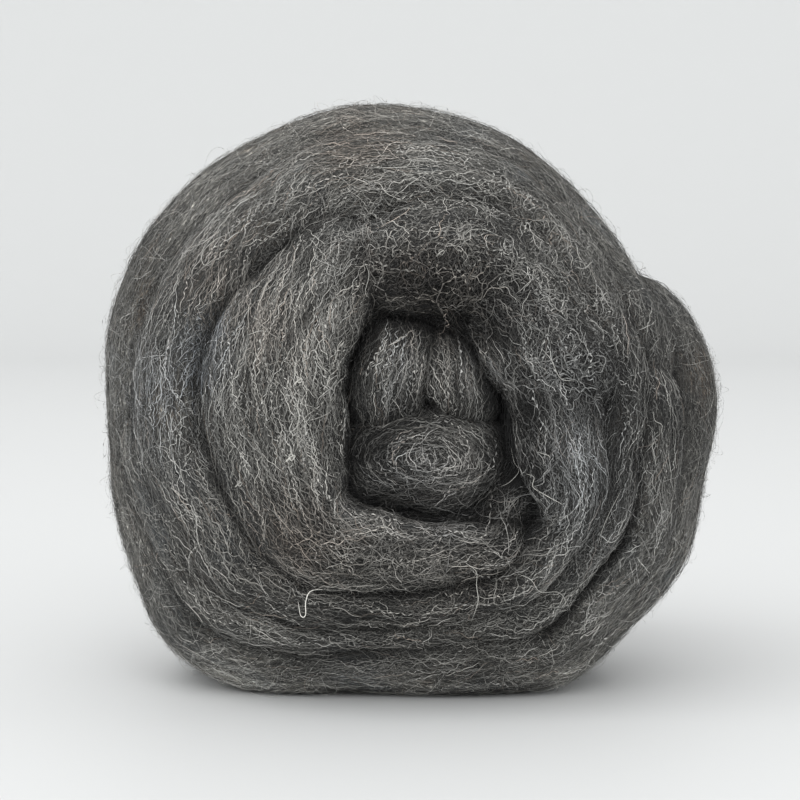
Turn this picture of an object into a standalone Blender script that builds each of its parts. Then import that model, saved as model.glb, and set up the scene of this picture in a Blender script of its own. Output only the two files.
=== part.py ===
"""A ball of wool roving: one soft, untwisted length of combed wool, wound over and over itself.

It stands on a small flat spot. The eye of the winding, where the inner end is tucked, faces -Y.
Places on the ball are given by two angles, in degrees. The angle around the eye starts at +X and
runs towards +Z. The angle from the eye is 0 at the eye, 90 at the rim and 180 at the back.
Blender units are metres, and the tables are in millimetres.
"""

import bpy
import numpy as np

MM = 0.001

# Driving dimensions
BALL_HALF_DEPTH = 56.5     # eye to the middle of the ball, before the turns stand proud
CENTRE_HEIGHT = 60.2       # middle of the ball above the surface it rests on
CENTRE_X = 1.35            # moves the ball sideways so that its box is centred on the origin
CENTRE_Y = -1.1            # the same, front to back

STRAND_DEPTH_RATIO = 0.72  # thickness of the pressed roving as a share of its width
STRAND_LEAST_DEPTH = 11.0  # the thinnest that the roving is pressed
SECTION_POWER = 2.0        # 2 is an ellipse, more is a fuller section
END_ROUNDING = 9.0         # length over which a tucked end is rounded off
SAMPLE_STEP = 2.0          # spacing of the sections along the roving
SECTION_POINTS = 20        # points around one section

CORE_DEPTH = 5.5           # how far the wound middle lies under the outermost turns
EYE_DEPTH = 22.0           # the same, inside the eye
EYE_FLOOR_ANGLE = 11.0     # the eye is at its full depth up to this angle from its middle
EYE_RIM_ANGLE = 25.0       # and the middle is back at its usual depth from here on
CORE_STEPS_AROUND = 96
CORE_STEPS_FROM_EYE = 48

VOXEL_SIZE = 1.25          # grain at which the turns are felted into one solid
SMOOTH_STEPS = 2
TRIANGLE_SHARE = 0.1       # share of the triangles that is kept
FLOOR_CUTTER_SIZE = 200.0

WOOL_COLOUR = (0.072, 0.069, 0.066, 1.0)
WOOL_ROUGHNESS = 0.95
WOOL_METALLIC = 0.0

# Outline of the ball, seen at the eye: the radius every OUTLINE_STEP degrees around it.
# The radii at the bottom are those of the ball before it settles on its flat spot.
OUTLINE_STEP = 15.0
OUTLINE_RADIUS = (
    62.5, 59.5, 54.5, 53.5, 55.5, 58.5,    # right, then up
    61.0, 62.5, 63.0, 65.0, 66.5, 66.5,    # top, then down the left side
    65.5, 66.0, 70.5, 76.0, 74.0, 68.5,    # left, then the full lower corner
    67.0, 68.0, 71.5, 68.5, 67.5, 63.5,    # bottom, then up the right side
)

# Each table is one stretch of the roving, a row for each section. Its columns are the angle
# around the eye, the angle from the eye, the width of the roving, and the height of its crown
# over the ball's surface.

# The widest turn: it comes up the right side, goes over the top, down the left side, narrows
# under the big left turn, and runs round the bottom to the right of the eye.
BROAD_TURN = (
    # around, from eye, width, crown
    (160, 86, 18, -8.0),
    (172, 82, 19, -5.0),
    (183, 76, 18, -2.5),
    (193, 69, 17, -1.0),
    (203, 61, 15, -0.5),
    (214, 54, 13, 0.0),
    (225, 50, 12, 0.0),
    (236, 47, 12, -0.5),
    (248, 46, 13, -1.0),
    (262, 45.5, 13, -1.5),
    (277, 45, 13, -2.0),
    (293, 44, 13, -2.0),
    (309, 43, 12, -1.5),
    (323, 43, 12, -1.0),
    (336, 43, 13, -1.0),
    (349, 43, 14, -1.0),
    (362, 44, 15, -0.5),
    (380, 49, 18, 0.0),
    (393, 56, 21, 0.0),
    (410, 60, 23, 0.0),
    (424, 59, 24, 0.5),
    (440, 56, 24, 0.5),
    (455, 54, 24, 0.5),
    (473, 55, 25, 0.5),
    (487, 52, 26, 0.5),
    (501, 49, 26, 1.0),
    (515, 49, 27, 1.5),
    (527, 50, 27, 1.5),
    (540, 50, 29, 1.5),
    (553, 50, 29, 1.5),
    (567, 44, 25, 1.0),
    (581, 40.5, 21, 0.5),
    (593, 38, 16.5, 0.0),
    (608, 37, 13.5, 0.0),
    (625, 36.5, 12, 0.0),
    (641, 36, 12, 0.0),
    (655, 34.5, 11.5, 0.5),
    (669, 34, 10.5, 1.5),
    (680, 34, 10.5, 1.5),
    (690, 32, 14, 2.0),
    (701, 29, 17, 2.5),
    (715, 27.5, 17.5, 2.5),
    (730, 27.5, 18, 1.5),
    (745, 29, 18, -1.0),
    (758, 32, 15, -4.5),
    (770, 35, 12, -9.0),
)

# The rim turn, over the top and down the left side.
RIM_TURN = (
    # around, from eye, width, crown
    (345, 60, 14, -6.0),
    (362, 57, 18, -3.0),
    (375, 63, 25, -0.5),
    (386, 72, 28, 0.0),
    (404, 80, 30, 0.0),
    (419, 83, 30, 0.0),
    (438, 80, 30, 0.0),
    (453, 78, 30, 0.0),
    (474, 79, 30, 0.0),
    (490, 77, 29, 0.0),
    (504, 73, 28, 0.0),
    (517, 74, 29, 0.0),
    (530, 77, 31, 0.0),
    (542, 82, 32, 0.0),
    (554, 88, 30, 0.0),
    (566, 96, 28, -1.0),
    (578, 106, 24, -4.0),
)

# The outer turn, from behind the left side round the bottom and up the right side.
OUTER_TURN = (
    # around, from eye, width, crown
    (168, 118, 20, -5.0),
    (180, 105, 24, -1.0),
    (194, 91, 27, 0.0),
    (205, 80, 28, 0.0),
    (216, 73, 29, 0.0),
    (227, 69, 28, 0.0),
    (238, 64, 27, 0.0),
    (250, 60, 27, 0.0),
    (264, 59, 28, 0.0),
    (278, 59, 28, 0.0),
    (296, 61, 28, 0.0),
    (312, 66, 28, 0.0),
    (325, 72, 27, 0.0),
    (338, 74, 28, 0.0),
    (349, 75, 29, 0.5),
    (361, 77, 29, 1.0),
    (371, 80, 28, 1.0),
    (380, 85, 25, 0.0),
    (389, 92, 20, -4.0),
)

# The narrow strand that the outer turn parts into on the right side.
OUTER_SPLIT = (
    # around, from eye, width, crown
    (290, 55, 8, -2.0),
    (303, 55, 12, 0.0),
    (325, 56, 14, 0.5),
    (338, 56, 15, 0.5),
    (350, 55, 15, 0.5),
    (362, 54, 14, 0.0),
    (374, 57, 10, -3.0),
)

# The curly top of the eye, which folds down over the broad turn on the right.
TOP_TURN = (
    # around, from eye, width, crown
    (118, 40, 12, -8.0),
    (110, 35, 18, -4.0),
    (97, 32, 22, -0.5),
    (82, 34, 24, 1.0),
    (66, 37, 24, 2.0),
    (52, 38, 25, 2.0),
    (37, 36, 26, 2.5),
    (26, 33, 25, 3.0),
    (14, 34, 20, 2.5),
    (5, 36, 14, 0.5),
    (-3, 38, 10, -4.0),
)

# The big left turn of the eye, which stands the most proud.
LEFT_TURN = (
    # around, from eye, width, crown
    (104, 43, 12, -6.0),
    (112, 38, 17, -1.0),
    (125, 32, 22, 1.5),
    (139, 29, 25, 2.5),
    (156, 28, 28, 3.0),
    (175, 28, 29, 3.0),
    (195, 27, 28, 3.0),
    (212, 26, 25, 2.5),
    (235, 25.5, 20, 2.0),
    (253, 26, 17, 1.5),
    (265, 26.5, 14.5, 1.5),
    (277, 27, 12.5, 1.0),
    (291, 27, 11.5, 0.5),
    (303, 27.5, 9, -0.5),
    (315, 28.5, 7, -4.0),
)

# The inner end, doubled into the eye: two lobes side by side, and the curled end under them.
LEFT_LOBE = (
    # around, from eye, width, crown
    (99, 27, 11, -17.0),
    (100, 20, 15, -10.0),
    (112, 13, 16, -7.5),
    (155, 7, 16, -7.5),
    (208, 8, 15, -10.0),
    (228, 13, 11, -16.0),
)
RIGHT_LOBE = (
    # around, from eye, width, crown
    (66, 29, 10, -17.0),
    (63, 22, 14, -10.5),
    (50, 17, 15, -8.0),
    (20, 12, 15, -8.0),
    (345, 10, 14, -10.5),
    (305, 11, 10, -16.0),
)
CURLED_END = (
    # around, from eye, width, crown
    (214, 24, 10, -14.0),
    (225, 15, 18, -7.5),
    (284, 11, 21, -6.0),
    (318, 17, 19, -7.5),
    (324, 25, 11, -13.0),
)

# The plain winding behind the rim: a spiral from the rim turn to the middle of the back.
BACK_SPIRAL_START = (150.0, 91.0)    # angle around the eye, angle from the eye
BACK_SPIRAL_END = (1390.0, 166.0)
BACK_SPIRAL_ROWS = 72
BACK_SPIRAL_WIDTH = 27.0
BACK_SPIRAL_CROWN = -0.5

# Wraps laid across the back. Each is a piece of a circle about an axis through the ball: the
# axis's two angles, the angle between it and the wrap, and the wrap's length, all in degrees,
# then the width and the height of the crown.
BACK_WRAPS = (
    # axis around, axis from eye, lean, length, width, crown
    (118, 98, 86, 164, 27, 0.5),
    (22, 112, 82, 166, 28, 1.5),
    (72, 78, 70, 150, 26, 2.5),
)
WRAP_ROWS = 20             # sections that set out one wrap
TUCK_ROWS = 5              # sections over which a tucked end sinks
TUCK_DEPTH = 11.0          # how deep it is pushed in


def outline_radius(around):
    """Radius of the ball at an angle around the eye: a smooth curve through OUTLINE_RADIUS."""
    radii = np.array(OUTLINE_RADIUS)
    count = len(radii)
    place = np.mod(around, 360.0) / OUTLINE_STEP
    left = np.floor(place).astype(int)
    u = place - left
    before, start, end, after = (radii[(left + k) % count] for k in (-1, 0, 1, 2))
    return cubic(before, start, end, after, u)


def cubic(before, start, end, after, u):
    """The Catmull-Rom curve from start, at u = 0, to end, at u = 1."""
    return start + 0.5 * u * (
        (end - before)
        + u * (2.0 * before - 5.0 * start + 4.0 * end - after)
        + u * u * (3.0 * (start - end) + after - before)
    )


def direction(around, from_eye):
    """Unit vector for a place on the ball."""
    a = np.radians(around)
    e = np.radians(from_eye)
    return np.stack([np.sin(e) * np.cos(a), -np.cos(e), np.sin(e) * np.sin(a)], axis=-1)


def ball_surface(unit):
    """Point of the ball's mean surface in a direction, and the outward normal there."""
    around = np.degrees(np.arctan2(unit[..., 2], unit[..., 0]))
    radius = outline_radius(around)
    reach = np.stack([radius, np.full_like(radius, BALL_HALF_DEPTH), radius], axis=-1)
    normal = unit / reach
    normal /= np.linalg.norm(normal, axis=-1, keepdims=True)
    centre = np.array([CENTRE_X, CENTRE_Y, CENTRE_HEIGHT])
    return centre + unit * reach, normal


def section_rows(rows):
    """A stretch's rows, sampled about every SAMPLE_STEP: directions, widths and crown heights."""
    table = np.array(rows, dtype=float)
    keys = np.column_stack([direction(table[:, 0], table[:, 1]), table[:, 2:]])
    padded = np.vstack([2.0 * keys[0] - keys[1], keys, 2.0 * keys[-1] - keys[-2]])
    pieces = []
    for i in range(len(keys) - 1):
        before, start, end, after = padded[i:i + 4]
        length = np.linalg.norm(end[:3] - start[:3]) * BALL_HALF_DEPTH
        count = max(2, round(length / SAMPLE_STEP))
        u = (np.arange(count) / count)[:, None]
        pieces.append(cubic(before, start, end, after, u))
    pieces.append(keys[-1:])
    sampled = np.vstack(pieces)
    unit = sampled[:, :3]
    unit = unit / np.linalg.norm(unit, axis=1, keepdims=True)
    return unit, sampled[:, 3], sampled[:, 4]


def strand_mesh(rows):
    """One stretch of roving: full oval sections carried along the ball, with rounded ends."""
    unit, width, crown = section_rows(rows)
    surface, normal = ball_surface(unit)
    along = np.gradient(surface, axis=0)
    along /= np.linalg.norm(along, axis=1, keepdims=True)
    across = np.cross(normal, along)
    across /= np.linalg.norm(across, axis=1, keepdims=True)
    step = np.linalg.norm(np.diff(surface, axis=0), axis=1)
    run = np.concatenate([[0.0], np.cumsum(step)])
    from_end = np.minimum(run, run[-1] - run)
    closing = np.clip(from_end / END_ROUNDING, 0.05, 1.0)
    size = np.sqrt(1.0 - (1.0 - closing) ** 2)
    depth = np.maximum(STRAND_DEPTH_RATIO * width, STRAND_LEAST_DEPTH)
    middle = surface + normal * (crown - depth / 2.0)[:, None]

    angle = np.linspace(0.0, 2.0 * np.pi, SECTION_POINTS, endpoint=False)
    power = 2.0 / SECTION_POWER
    side = np.sign(np.cos(angle)) * np.abs(np.cos(angle)) ** power
    rise = np.sign(np.sin(angle)) * np.abs(np.sin(angle)) ** power
    sideways = (width * size / 2.0)[:, None, None] * side[None, :, None] * across[:, None, :]
    upwards = (depth * size / 2.0)[:, None, None] * rise[None, :, None] * normal[:, None, :]
    rings = middle[:, None, :] + sideways + upwards
    return tube_faces(rings, middle[0], middle[-1])


def tube_faces(rings, first_tip, last_tip):
    """Vertices and faces of a closed tube through a stack of rings, with a tip at each end."""
    count, points = rings.shape[:2]
    vertices = np.vstack([rings.reshape(-1, 3), first_tip, last_tip])
    ring = np.arange(count - 1)[:, None] * points
    here = np.arange(points)[None, :]
    after = (here + 1) % points
    walls = np.stack([ring + here, ring + points + here, ring + points + after, ring + after],
                     axis=-1).reshape(-1, 4)
    tips = count * points
    here = here.ravel()
    after = after.ravel()
    start_cap = np.column_stack([np.full(points, tips), here, after])
    end_ring = (count - 1) * points
    end_cap = np.column_stack([np.full(points, tips + 1), end_ring + after, end_ring + here])
    return vertices, walls.tolist() + start_cap.tolist() + end_cap.tolist()


def tucked(row_count, width, crown):
    """Widths and crown heights of a stretch whose two ends are pushed in under its neighbours."""
    row = np.arange(row_count)
    from_end = np.minimum(row, row_count - 1 - row)
    tuck = np.clip(1.0 - from_end / TUCK_ROWS, 0.0, 1.0)
    return width * (1.0 - 0.4 * tuck), crown - TUCK_DEPTH * tuck ** 2


def spiral_rows():
    """Rows of the plain winding behind the rim, evenly spaced in both angles."""
    around = np.linspace(BACK_SPIRAL_START[0], BACK_SPIRAL_END[0], BACK_SPIRAL_ROWS)
    from_eye = np.linspace(BACK_SPIRAL_START[1], BACK_SPIRAL_END[1], BACK_SPIRAL_ROWS)
    widths, crowns = tucked(BACK_SPIRAL_ROWS, BACK_SPIRAL_WIDTH, BACK_SPIRAL_CROWN)
    return np.column_stack([around, from_eye, widths, crowns])


def wrap_rows(axis_around, axis_from_eye, lean_degrees, length_degrees, width, crown):
    """Rows of one wrap: a piece of the circle at the lean from its axis, middle to the back."""
    axis = direction(axis_around, axis_from_eye)
    back = np.array([0.0, 1.0, 0.0])
    side = back - axis * np.dot(back, axis)
    side /= np.linalg.norm(side)
    other = np.cross(axis, side)
    turn = np.radians(np.linspace(-0.5, 0.5, WRAP_ROWS) * length_degrees)[:, None]
    lean = np.radians(lean_degrees)
    unit = np.cos(lean) * axis + np.sin(lean) * (np.cos(turn) * side + np.sin(turn) * other)
    around = np.degrees(np.arctan2(unit[:, 2], unit[:, 0]))
    from_eye = np.degrees(np.arccos(-unit[:, 1]))
    widths, crowns = tucked(WRAP_ROWS, width, crown)
    return np.column_stack([around, from_eye, widths, crowns])


def core_mesh():
    """The wound middle: the ball's surface drawn in, with the hollow of the eye."""
    from_eye = np.linspace(0.0, 180.0, CORE_STEPS_FROM_EYE + 1)[1:-1]
    around = np.linspace(0.0, 360.0, CORE_STEPS_AROUND, endpoint=False)
    eye_grid, around_grid = np.meshgrid(from_eye, around, indexing="ij")
    surface, normal = ball_surface(direction(around_grid, eye_grid))
    blend = np.clip((eye_grid - EYE_FLOOR_ANGLE) / (EYE_RIM_ANGLE - EYE_FLOOR_ANGLE), 0.0, 1.0)
    blend = blend * blend * (3.0 - 2.0 * blend)
    depth = EYE_DEPTH + (CORE_DEPTH - EYE_DEPTH) * blend
    rings = surface - normal * depth[..., None]
    front = np.array([CENTRE_X, CENTRE_Y - BALL_HALF_DEPTH + EYE_DEPTH, CENTRE_HEIGHT])
    back = np.array([CENTRE_X, CENTRE_Y + BALL_HALF_DEPTH - CORE_DEPTH, CENTRE_HEIGHT])
    return tube_faces(rings, front, back)


def wound_mesh(name):
    """All stretches and the core in one mesh, still overlapping."""
    stretches = [
        BROAD_TURN, RIM_TURN, OUTER_TURN, OUTER_SPLIT, TOP_TURN, LEFT_TURN,
        LEFT_LOBE, RIGHT_LOBE, CURLED_END,
    ]
    stretches += [spiral_rows()]
    stretches += [wrap_rows(*wrap) for wrap in BACK_WRAPS]
    shells = [core_mesh()] + [strand_mesh(rows) for rows in stretches]
    vertices = []
    faces = []
    for shell_vertices, shell_faces in shells:
        start = len(vertices)
        vertices += (shell_vertices * MM).tolist()
        faces += [[index + start for index in face] for face in shell_faces]
    mesh = bpy.data.meshes.new(name)
    mesh.from_pydata(vertices, [], faces)
    mesh.validate()
    return mesh


def wool_material():
    material = bpy.data.materials.new("charcoal_wool")
    material.use_nodes = True
    shader = material.node_tree.nodes["Principled BSDF"]
    shader.inputs["Base Color"].default_value = WOOL_COLOUR
    shader.inputs["Roughness"].default_value = WOOL_ROUGHNESS
    shader.inputs["Metallic"].default_value = WOOL_METALLIC
    return material


def new_collection(name):
    collection = bpy.data.collections.new(name)
    bpy.context.scene.collection.children.link(collection)
    return collection


def floor_cutter(collection):
    """A block whose top is the surface that the ball rests on."""
    bpy.ops.mesh.primitive_cube_add(size=FLOOR_CUTTER_SIZE * MM)
    cutter = bpy.context.object
    cutter.name = "floor_cutter"
    cutter.location.z = -FLOOR_CUTTER_SIZE * MM / 2.0
    cutter.hide_render = True
    cutter.display_type = "WIRE"
    for holder in list(cutter.users_collection):
        holder.objects.unlink(cutter)
    collection.objects.link(cutter)
    return cutter


def felt_together(ball):
    """Joins the overlapping turns into one skin, and thins it."""
    remesh = ball.modifiers.new("felt", "REMESH")
    remesh.mode = "VOXEL"
    remesh.voxel_size = VOXEL_SIZE * MM
    smooth = ball.modifiers.new("soften", "SMOOTH")
    smooth.factor = 0.5
    smooth.iterations = SMOOTH_STEPS
    thin = ball.modifiers.new("thin", "DECIMATE")
    thin.ratio = TRIANGLE_SHARE


def settle_flat(ball, cutter):
    """Cuts the flat spot on which the ball stands."""
    cut = ball.modifiers.new("flat_spot", "BOOLEAN")
    cut.operation = "DIFFERENCE"
    cut.solver = "EXACT"
    cut.object = cutter


for old in list(bpy.data.objects):
    bpy.data.objects.remove(old, do_unlink=True)

parts = new_collection("wool_roving_ball")
cutters = new_collection("cutters")

roving_ball = bpy.data.objects.new("roving_ball", wound_mesh("roving_ball"))
parts.objects.link(roving_ball)
roving_ball.data.materials.append(wool_material())
felt_together(roving_ball)
settle_flat(roving_ball, floor_cutter(cutters))
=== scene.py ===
"""Looks of a ball of wool roving: its wound turns, and the crimped fibres on and around them.

Shapes are worked out in millimetres and go into the meshes in metres. Places on the ball are
given by two angles, in degrees. The angle around the eye starts at +X and runs towards +Z. The
angle from the eye is 0 at the eye, which faces -Y, 90 at the rim and 180 at the back.
"""

import bpy
import numpy as np
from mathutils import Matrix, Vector
from mathutils.bvhtree import BVHTree


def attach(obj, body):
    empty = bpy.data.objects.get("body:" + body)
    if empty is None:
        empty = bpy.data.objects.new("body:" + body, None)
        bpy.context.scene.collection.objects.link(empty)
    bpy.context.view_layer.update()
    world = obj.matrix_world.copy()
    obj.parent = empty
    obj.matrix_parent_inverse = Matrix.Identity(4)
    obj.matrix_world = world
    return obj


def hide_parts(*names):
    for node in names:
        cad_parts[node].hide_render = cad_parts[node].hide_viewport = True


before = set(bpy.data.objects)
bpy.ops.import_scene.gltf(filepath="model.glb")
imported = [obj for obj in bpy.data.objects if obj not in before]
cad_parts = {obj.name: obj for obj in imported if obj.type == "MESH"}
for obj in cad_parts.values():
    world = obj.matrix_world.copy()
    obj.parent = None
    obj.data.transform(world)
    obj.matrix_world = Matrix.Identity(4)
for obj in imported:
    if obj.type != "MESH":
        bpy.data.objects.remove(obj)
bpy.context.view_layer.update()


# ------------------------------------------------------------------------------- Studio
# A plain pale table top that turns up into its own backdrop all round, lit by one large soft
# light from the upper left, a weaker one from the front, and the room. The camera looks at the
# eye of the ball from half a metre, a little from above.

MM = 0.001

CAMERA_AIM = np.array([0.0, 0.0, 60.2])
CAMERA_DISTANCE = 500.0
CAMERA_ELEVATION = 4.0
CAMERA_LENS = 105.75
CAMERA_SENSOR = 36.0
CAMERA_STEP_LEFT = 1.84          # the ball stands a little right of the middle of the picture
CAMERA_STEP_DOWN = 1.49          # and a little above it

FLOOR_RADIUS = 1.3
FLOOR_CURVE = 0.5
BACKDROP_HEIGHT = 0.15
FLOOR_COLOUR = (0.63, 0.64, 0.64, 1.0)
FLOOR_ROUGHNESS = 0.6

LIGHTS = (
    # name, place in metres, width in metres, power
    ("key_light", (-0.85, -1.15, 1.15), 3.0, 34.0),
    ("fill_light", (0.60, -1.50, 0.75), 1.6, 10.0),
)
LIGHTS_AIM = Vector((0.0, 0.0, 0.05))
ROOM_LIGHT = 1.0


def new_mesh(name, vertices, faces, triangles):
    """A mesh from arrays of vertices in millimetres, four-cornered faces, and triangles."""
    mesh = bpy.data.meshes.new(name)
    mesh.vertices.add(len(vertices))
    mesh.vertices.foreach_set("co", (vertices * MM).astype(np.float32).ravel())
    corners = np.concatenate([faces.ravel(), triangles.ravel()]).astype(np.int32)
    starts = np.concatenate([
        np.arange(len(faces)) * 4,
        faces.size + np.arange(len(triangles)) * 3,
    ]).astype(np.int32)
    mesh.loops.add(len(corners))
    mesh.loops.foreach_set("vertex_index", corners)
    mesh.polygons.add(len(starts))
    mesh.polygons.foreach_set("loop_start", starts)
    mesh.polygons.foreach_set("use_smooth", np.ones(len(starts), dtype=bool))
    mesh.update(calc_edges=True)
    return mesh


def new_piece(name, mesh, material):
    """An object for a mesh, at the origin, in the scene's collection."""
    piece = bpy.data.objects.new(name, mesh)
    piece.data.materials.append(material)
    bpy.context.scene.collection.objects.link(piece)
    return piece


def grid_faces(rows, columns, closed):
    """Faces between neighbouring rows and columns of a grid of vertices. A closed grid's last
    column is joined to its first."""
    row = np.arange(rows - 1)[:, None] * columns
    here = np.arange(columns if closed else columns - 1)[None, :]
    after = (here + 1) % columns
    faces = np.stack([row + here, row + columns + here, row + columns + after, row + after], -1)
    return faces.reshape(-1, 4)


def cap_triangles(first, columns, tip, turned):
    """Triangles from a ring of vertices, which begins at first, to the tip that closes it."""
    here = np.arange(columns)
    after = (here + 1) % columns
    one, other = (after, here) if turned else (here, after)
    return np.column_stack([np.full(columns, tip), first + one, first + other])


def backdrop_grid():
    """A profile carried round the upright axis: flat to the floor's radius, then a quarter
    circle, then straight up."""
    bend = np.linspace(0.0, np.pi / 2.0, 24)
    reach = np.concatenate([
        [0.001, 0.1, 0.3, 0.8],
        FLOOR_RADIUS + FLOOR_CURVE * np.sin(bend),
        [FLOOR_RADIUS + FLOOR_CURVE],
    ])
    height = np.concatenate([
        np.zeros(4),
        FLOOR_CURVE * (1.0 - np.cos(bend)),
        [FLOOR_CURVE + BACKDROP_HEIGHT],
    ])
    turn = np.linspace(0.0, 2.0 * np.pi, 96, endpoint=False)
    across = reach[:, None] * np.cos(turn)
    ahead = reach[:, None] * np.sin(turn)
    up = np.repeat(height[:, None], len(turn), axis=1)
    return np.stack([across, ahead, up], axis=-1) / MM


def plain_material(name, colour, roughness):
    """A material of one colour and one roughness all over."""
    material = bpy.data.materials.new(name)
    material.use_nodes = True
    shader = material.node_tree.nodes["Principled BSDF"]
    shader.inputs["Base Color"].default_value = colour
    shader.inputs["Roughness"].default_value = roughness
    return material


def add_camera():
    """The camera stands its distance back from the aim along its look, then steps left and down.
    Gives its place, and its look, right and up as unit vectors."""
    tilt = np.radians(CAMERA_ELEVATION)
    look = np.array([0.0, np.cos(tilt), -np.sin(tilt)])
    up = np.array([0.0, np.sin(tilt), np.cos(tilt)])
    right = np.array([1.0, 0.0, 0.0])
    place = CAMERA_AIM - CAMERA_DISTANCE * look
    place = place - CAMERA_STEP_LEFT * right - CAMERA_STEP_DOWN * up
    camera = bpy.data.objects.new("camera", bpy.data.cameras.new("camera"))
    bpy.context.scene.collection.objects.link(camera)
    camera.data.lens = CAMERA_LENS
    camera.data.sensor_width = CAMERA_SENSOR
    camera.data.clip_start = 0.01
    camera.location = place * MM
    camera.rotation_euler = (np.radians(90.0 - CAMERA_ELEVATION), 0.0, 0.0)
    bpy.context.scene.camera = camera
    return place, look, right, up


def add_lights():
    """Round soft lights turned to the ball, and an even white light from the whole room."""
    for name, place, size, power in LIGHTS:
        lamp = bpy.data.lights.new(name, "AREA")
        lamp.shape = "DISK"
        lamp.size = size
        lamp.energy = power
        light = bpy.data.objects.new(name, lamp)
        light.location = place
        way = LIGHTS_AIM - light.location
        light.rotation_euler = way.to_track_quat("-Z", "Y").to_euler()
        bpy.context.scene.collection.objects.link(light)
    world = bpy.data.worlds.new("room")
    world.use_nodes = True
    world.node_tree.nodes["Background"].inputs["Color"].default_value = (1.0, 1.0, 1.0, 1.0)
    world.node_tree.nodes["Background"].inputs["Strength"].default_value = ROOM_LIGHT
    bpy.context.scene.world = world
    bpy.context.scene.view_settings.view_transform = "Standard"


camera_place, camera_look, camera_right, camera_up = add_camera()
add_lights()
backdrop = backdrop_grid()
floor_mesh = new_mesh(
    "floor",
    np.vstack([backdrop.reshape(-1, 3), np.zeros(3)]),
    grid_faces(*backdrop.shape[:2], True),
    cap_triangles(0, backdrop.shape[1], backdrop[..., 0].size, False),
)
table_top = plain_material("pale_table_top", FLOOR_COLOUR, FLOOR_ROUGHNESS)
floor = new_piece("floor", floor_mesh, table_top)


# -------------------------------------------------------------------------- Wound turns
# One length of combed, untwisted wool roving, wound over and over itself by hand and pressed
# flat where turns cross. The turns round the eye are set out one by one below, with the inner
# end doubled into the eye.

BALL_HALF_DEPTH = 56.5     # eye to the middle of the ball, before the turns stand proud
CENTRE = np.array([1.35, -1.1, 60.2])

STRAND_DEPTH_RATIO = 0.72  # thickness of the pressed roving as a share of its width
STRAND_LEAST_DEPTH = 11.0
SECTION_POWER = 2.0        # 2 is an ellipse, more is a fuller section
END_ROUNDING = 9.0         # length over which a tucked end is rounded off
SAMPLE_STEP = 1.7          # spacing of the sections along the roving
OUTER_ARC = (-15.0, 195.0)  # the outer side of a section, in degrees
OUTER_POINTS = 27          # points over it
INNER_POINTS = 7           # and over the rest, where nothing shows
FLOOR_GAP = 0.15           # the wool's lowest point
FLOOR_SOFTNESS = 0.5       # height over which the wool spreads as it meets the floor

LUMP_HEIGHT = 0.55         # slow swellings of the roving
LUMP_LENGTH = 21.0
LUMP_WIDTH = 10.0
RIDGE_HEIGHT = 0.42        # bundles of fibres that lie side by side in it
RIDGE_LENGTH = 38.0
RIDGE_WIDTH = 2.6

UV_UNIT = 100.0            # length along the roving and round it to one unit of the UV map
UV_APART = 1000.0          # length between the parts of the map that two skins have

# Outline of the ball, seen at the eye: the radius every OUTLINE_STEP degrees around it.
OUTLINE_STEP = 15.0
OUTLINE_RADIUS = (
    62.5, 59.5, 54.5, 53.5, 55.5, 58.5,    # right, then up
    61.0, 62.5, 63.0, 65.0, 66.5, 66.5,    # top, then down the left side
    65.5, 66.0, 70.5, 76.0, 74.0, 68.5,    # left, then the full lower corner
    67.0, 68.0, 71.5, 68.5, 67.5, 63.5,    # bottom, then up the right side
)

# Each table is one stretch of the roving, a row for each section. Its columns are the angle
# around the eye, the angle from the eye, the width of the roving, and the height of its crown
# over the ball's surface.

# The widest turn: it comes up the right side, goes over the top, down the left side, narrows
# under the big left turn, and runs round the bottom to the right of the eye.
BROAD_TURN = (
    # around, from eye, width, crown
    (160, 86, 18, -8.0),
    (172, 82, 19, -5.0),
    (183, 76, 18, -2.5),
    (193, 69, 17, -1.0),
    (203, 61, 15, -0.5),
    (214, 54, 13, 0.0),
    (225, 50, 12, 0.0),
    (236, 47, 12, -0.5),
    (248, 46, 13, -1.0),
    (262, 45.5, 13, -1.5),
    (277, 45, 13, -2.0),
    (293, 44, 13, -2.0),
    (309, 43, 12, -1.5),
    (323, 43, 12, -1.0),
    (336, 43, 13, -1.0),
    (349, 43, 14, -1.0),
    (362, 44, 15, -0.5),
    (380, 49, 18, 0.0),
    (393, 56, 21, 0.0),
    (410, 60, 23, 0.0),
    (424, 59, 24, 0.5),
    (440, 56, 24, 0.5),
    (455, 54, 24, 0.5),
    (473, 55, 25, 0.5),
    (487, 52, 26, 0.5),
    (501, 49, 26, 1.0),
    (515, 49, 27, 1.5),
    (527, 50, 27, 1.5),
    (540, 50, 29, 1.5),
    (553, 50, 29, 1.5),
    (567, 44, 25, 1.0),
    (581, 40.5, 21, 0.5),
    (593, 38, 16.5, 0.0),
    (608, 37, 13.5, 0.0),
    (625, 36.5, 12, 0.0),
    (641, 36, 12, 0.0),
    (655, 34.5, 11.5, 0.5),
    (669, 34, 10.5, 1.5),
    (680, 34, 10.5, 1.5),
    (690, 32, 14, 2.0),
    (701, 29, 17, 2.5),
    (715, 27.5, 17.5, 2.5),
    (730, 27.5, 18, 1.5),
    (745, 29, 18, -1.0),
    (758, 32, 15, -4.5),
    (770, 35, 12, -9.0),
)

# The rim turn, over the top and down the left side.
RIM_TURN = (
    # around, from eye, width, crown
    (345, 60, 14, -6.0),
    (362, 57, 18, -3.0),
    (375, 63, 25, -0.5),
    (386, 72, 28, 0.0),
    (404, 80, 30, 0.0),
    (419, 83, 30, 0.0),
    (438, 80, 30, 0.0),
    (453, 78, 30, 0.0),
    (474, 79, 30, 0.0),
    (490, 77, 29, 0.0),
    (504, 73, 28, 0.0),
    (517, 74, 29, 0.0),
    (530, 77, 31, 0.0),
    (542, 82, 32, 0.0),
    (554, 88, 30, 0.0),
    (566, 96, 28, -1.0),
    (578, 106, 24, -4.0),
)

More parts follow.
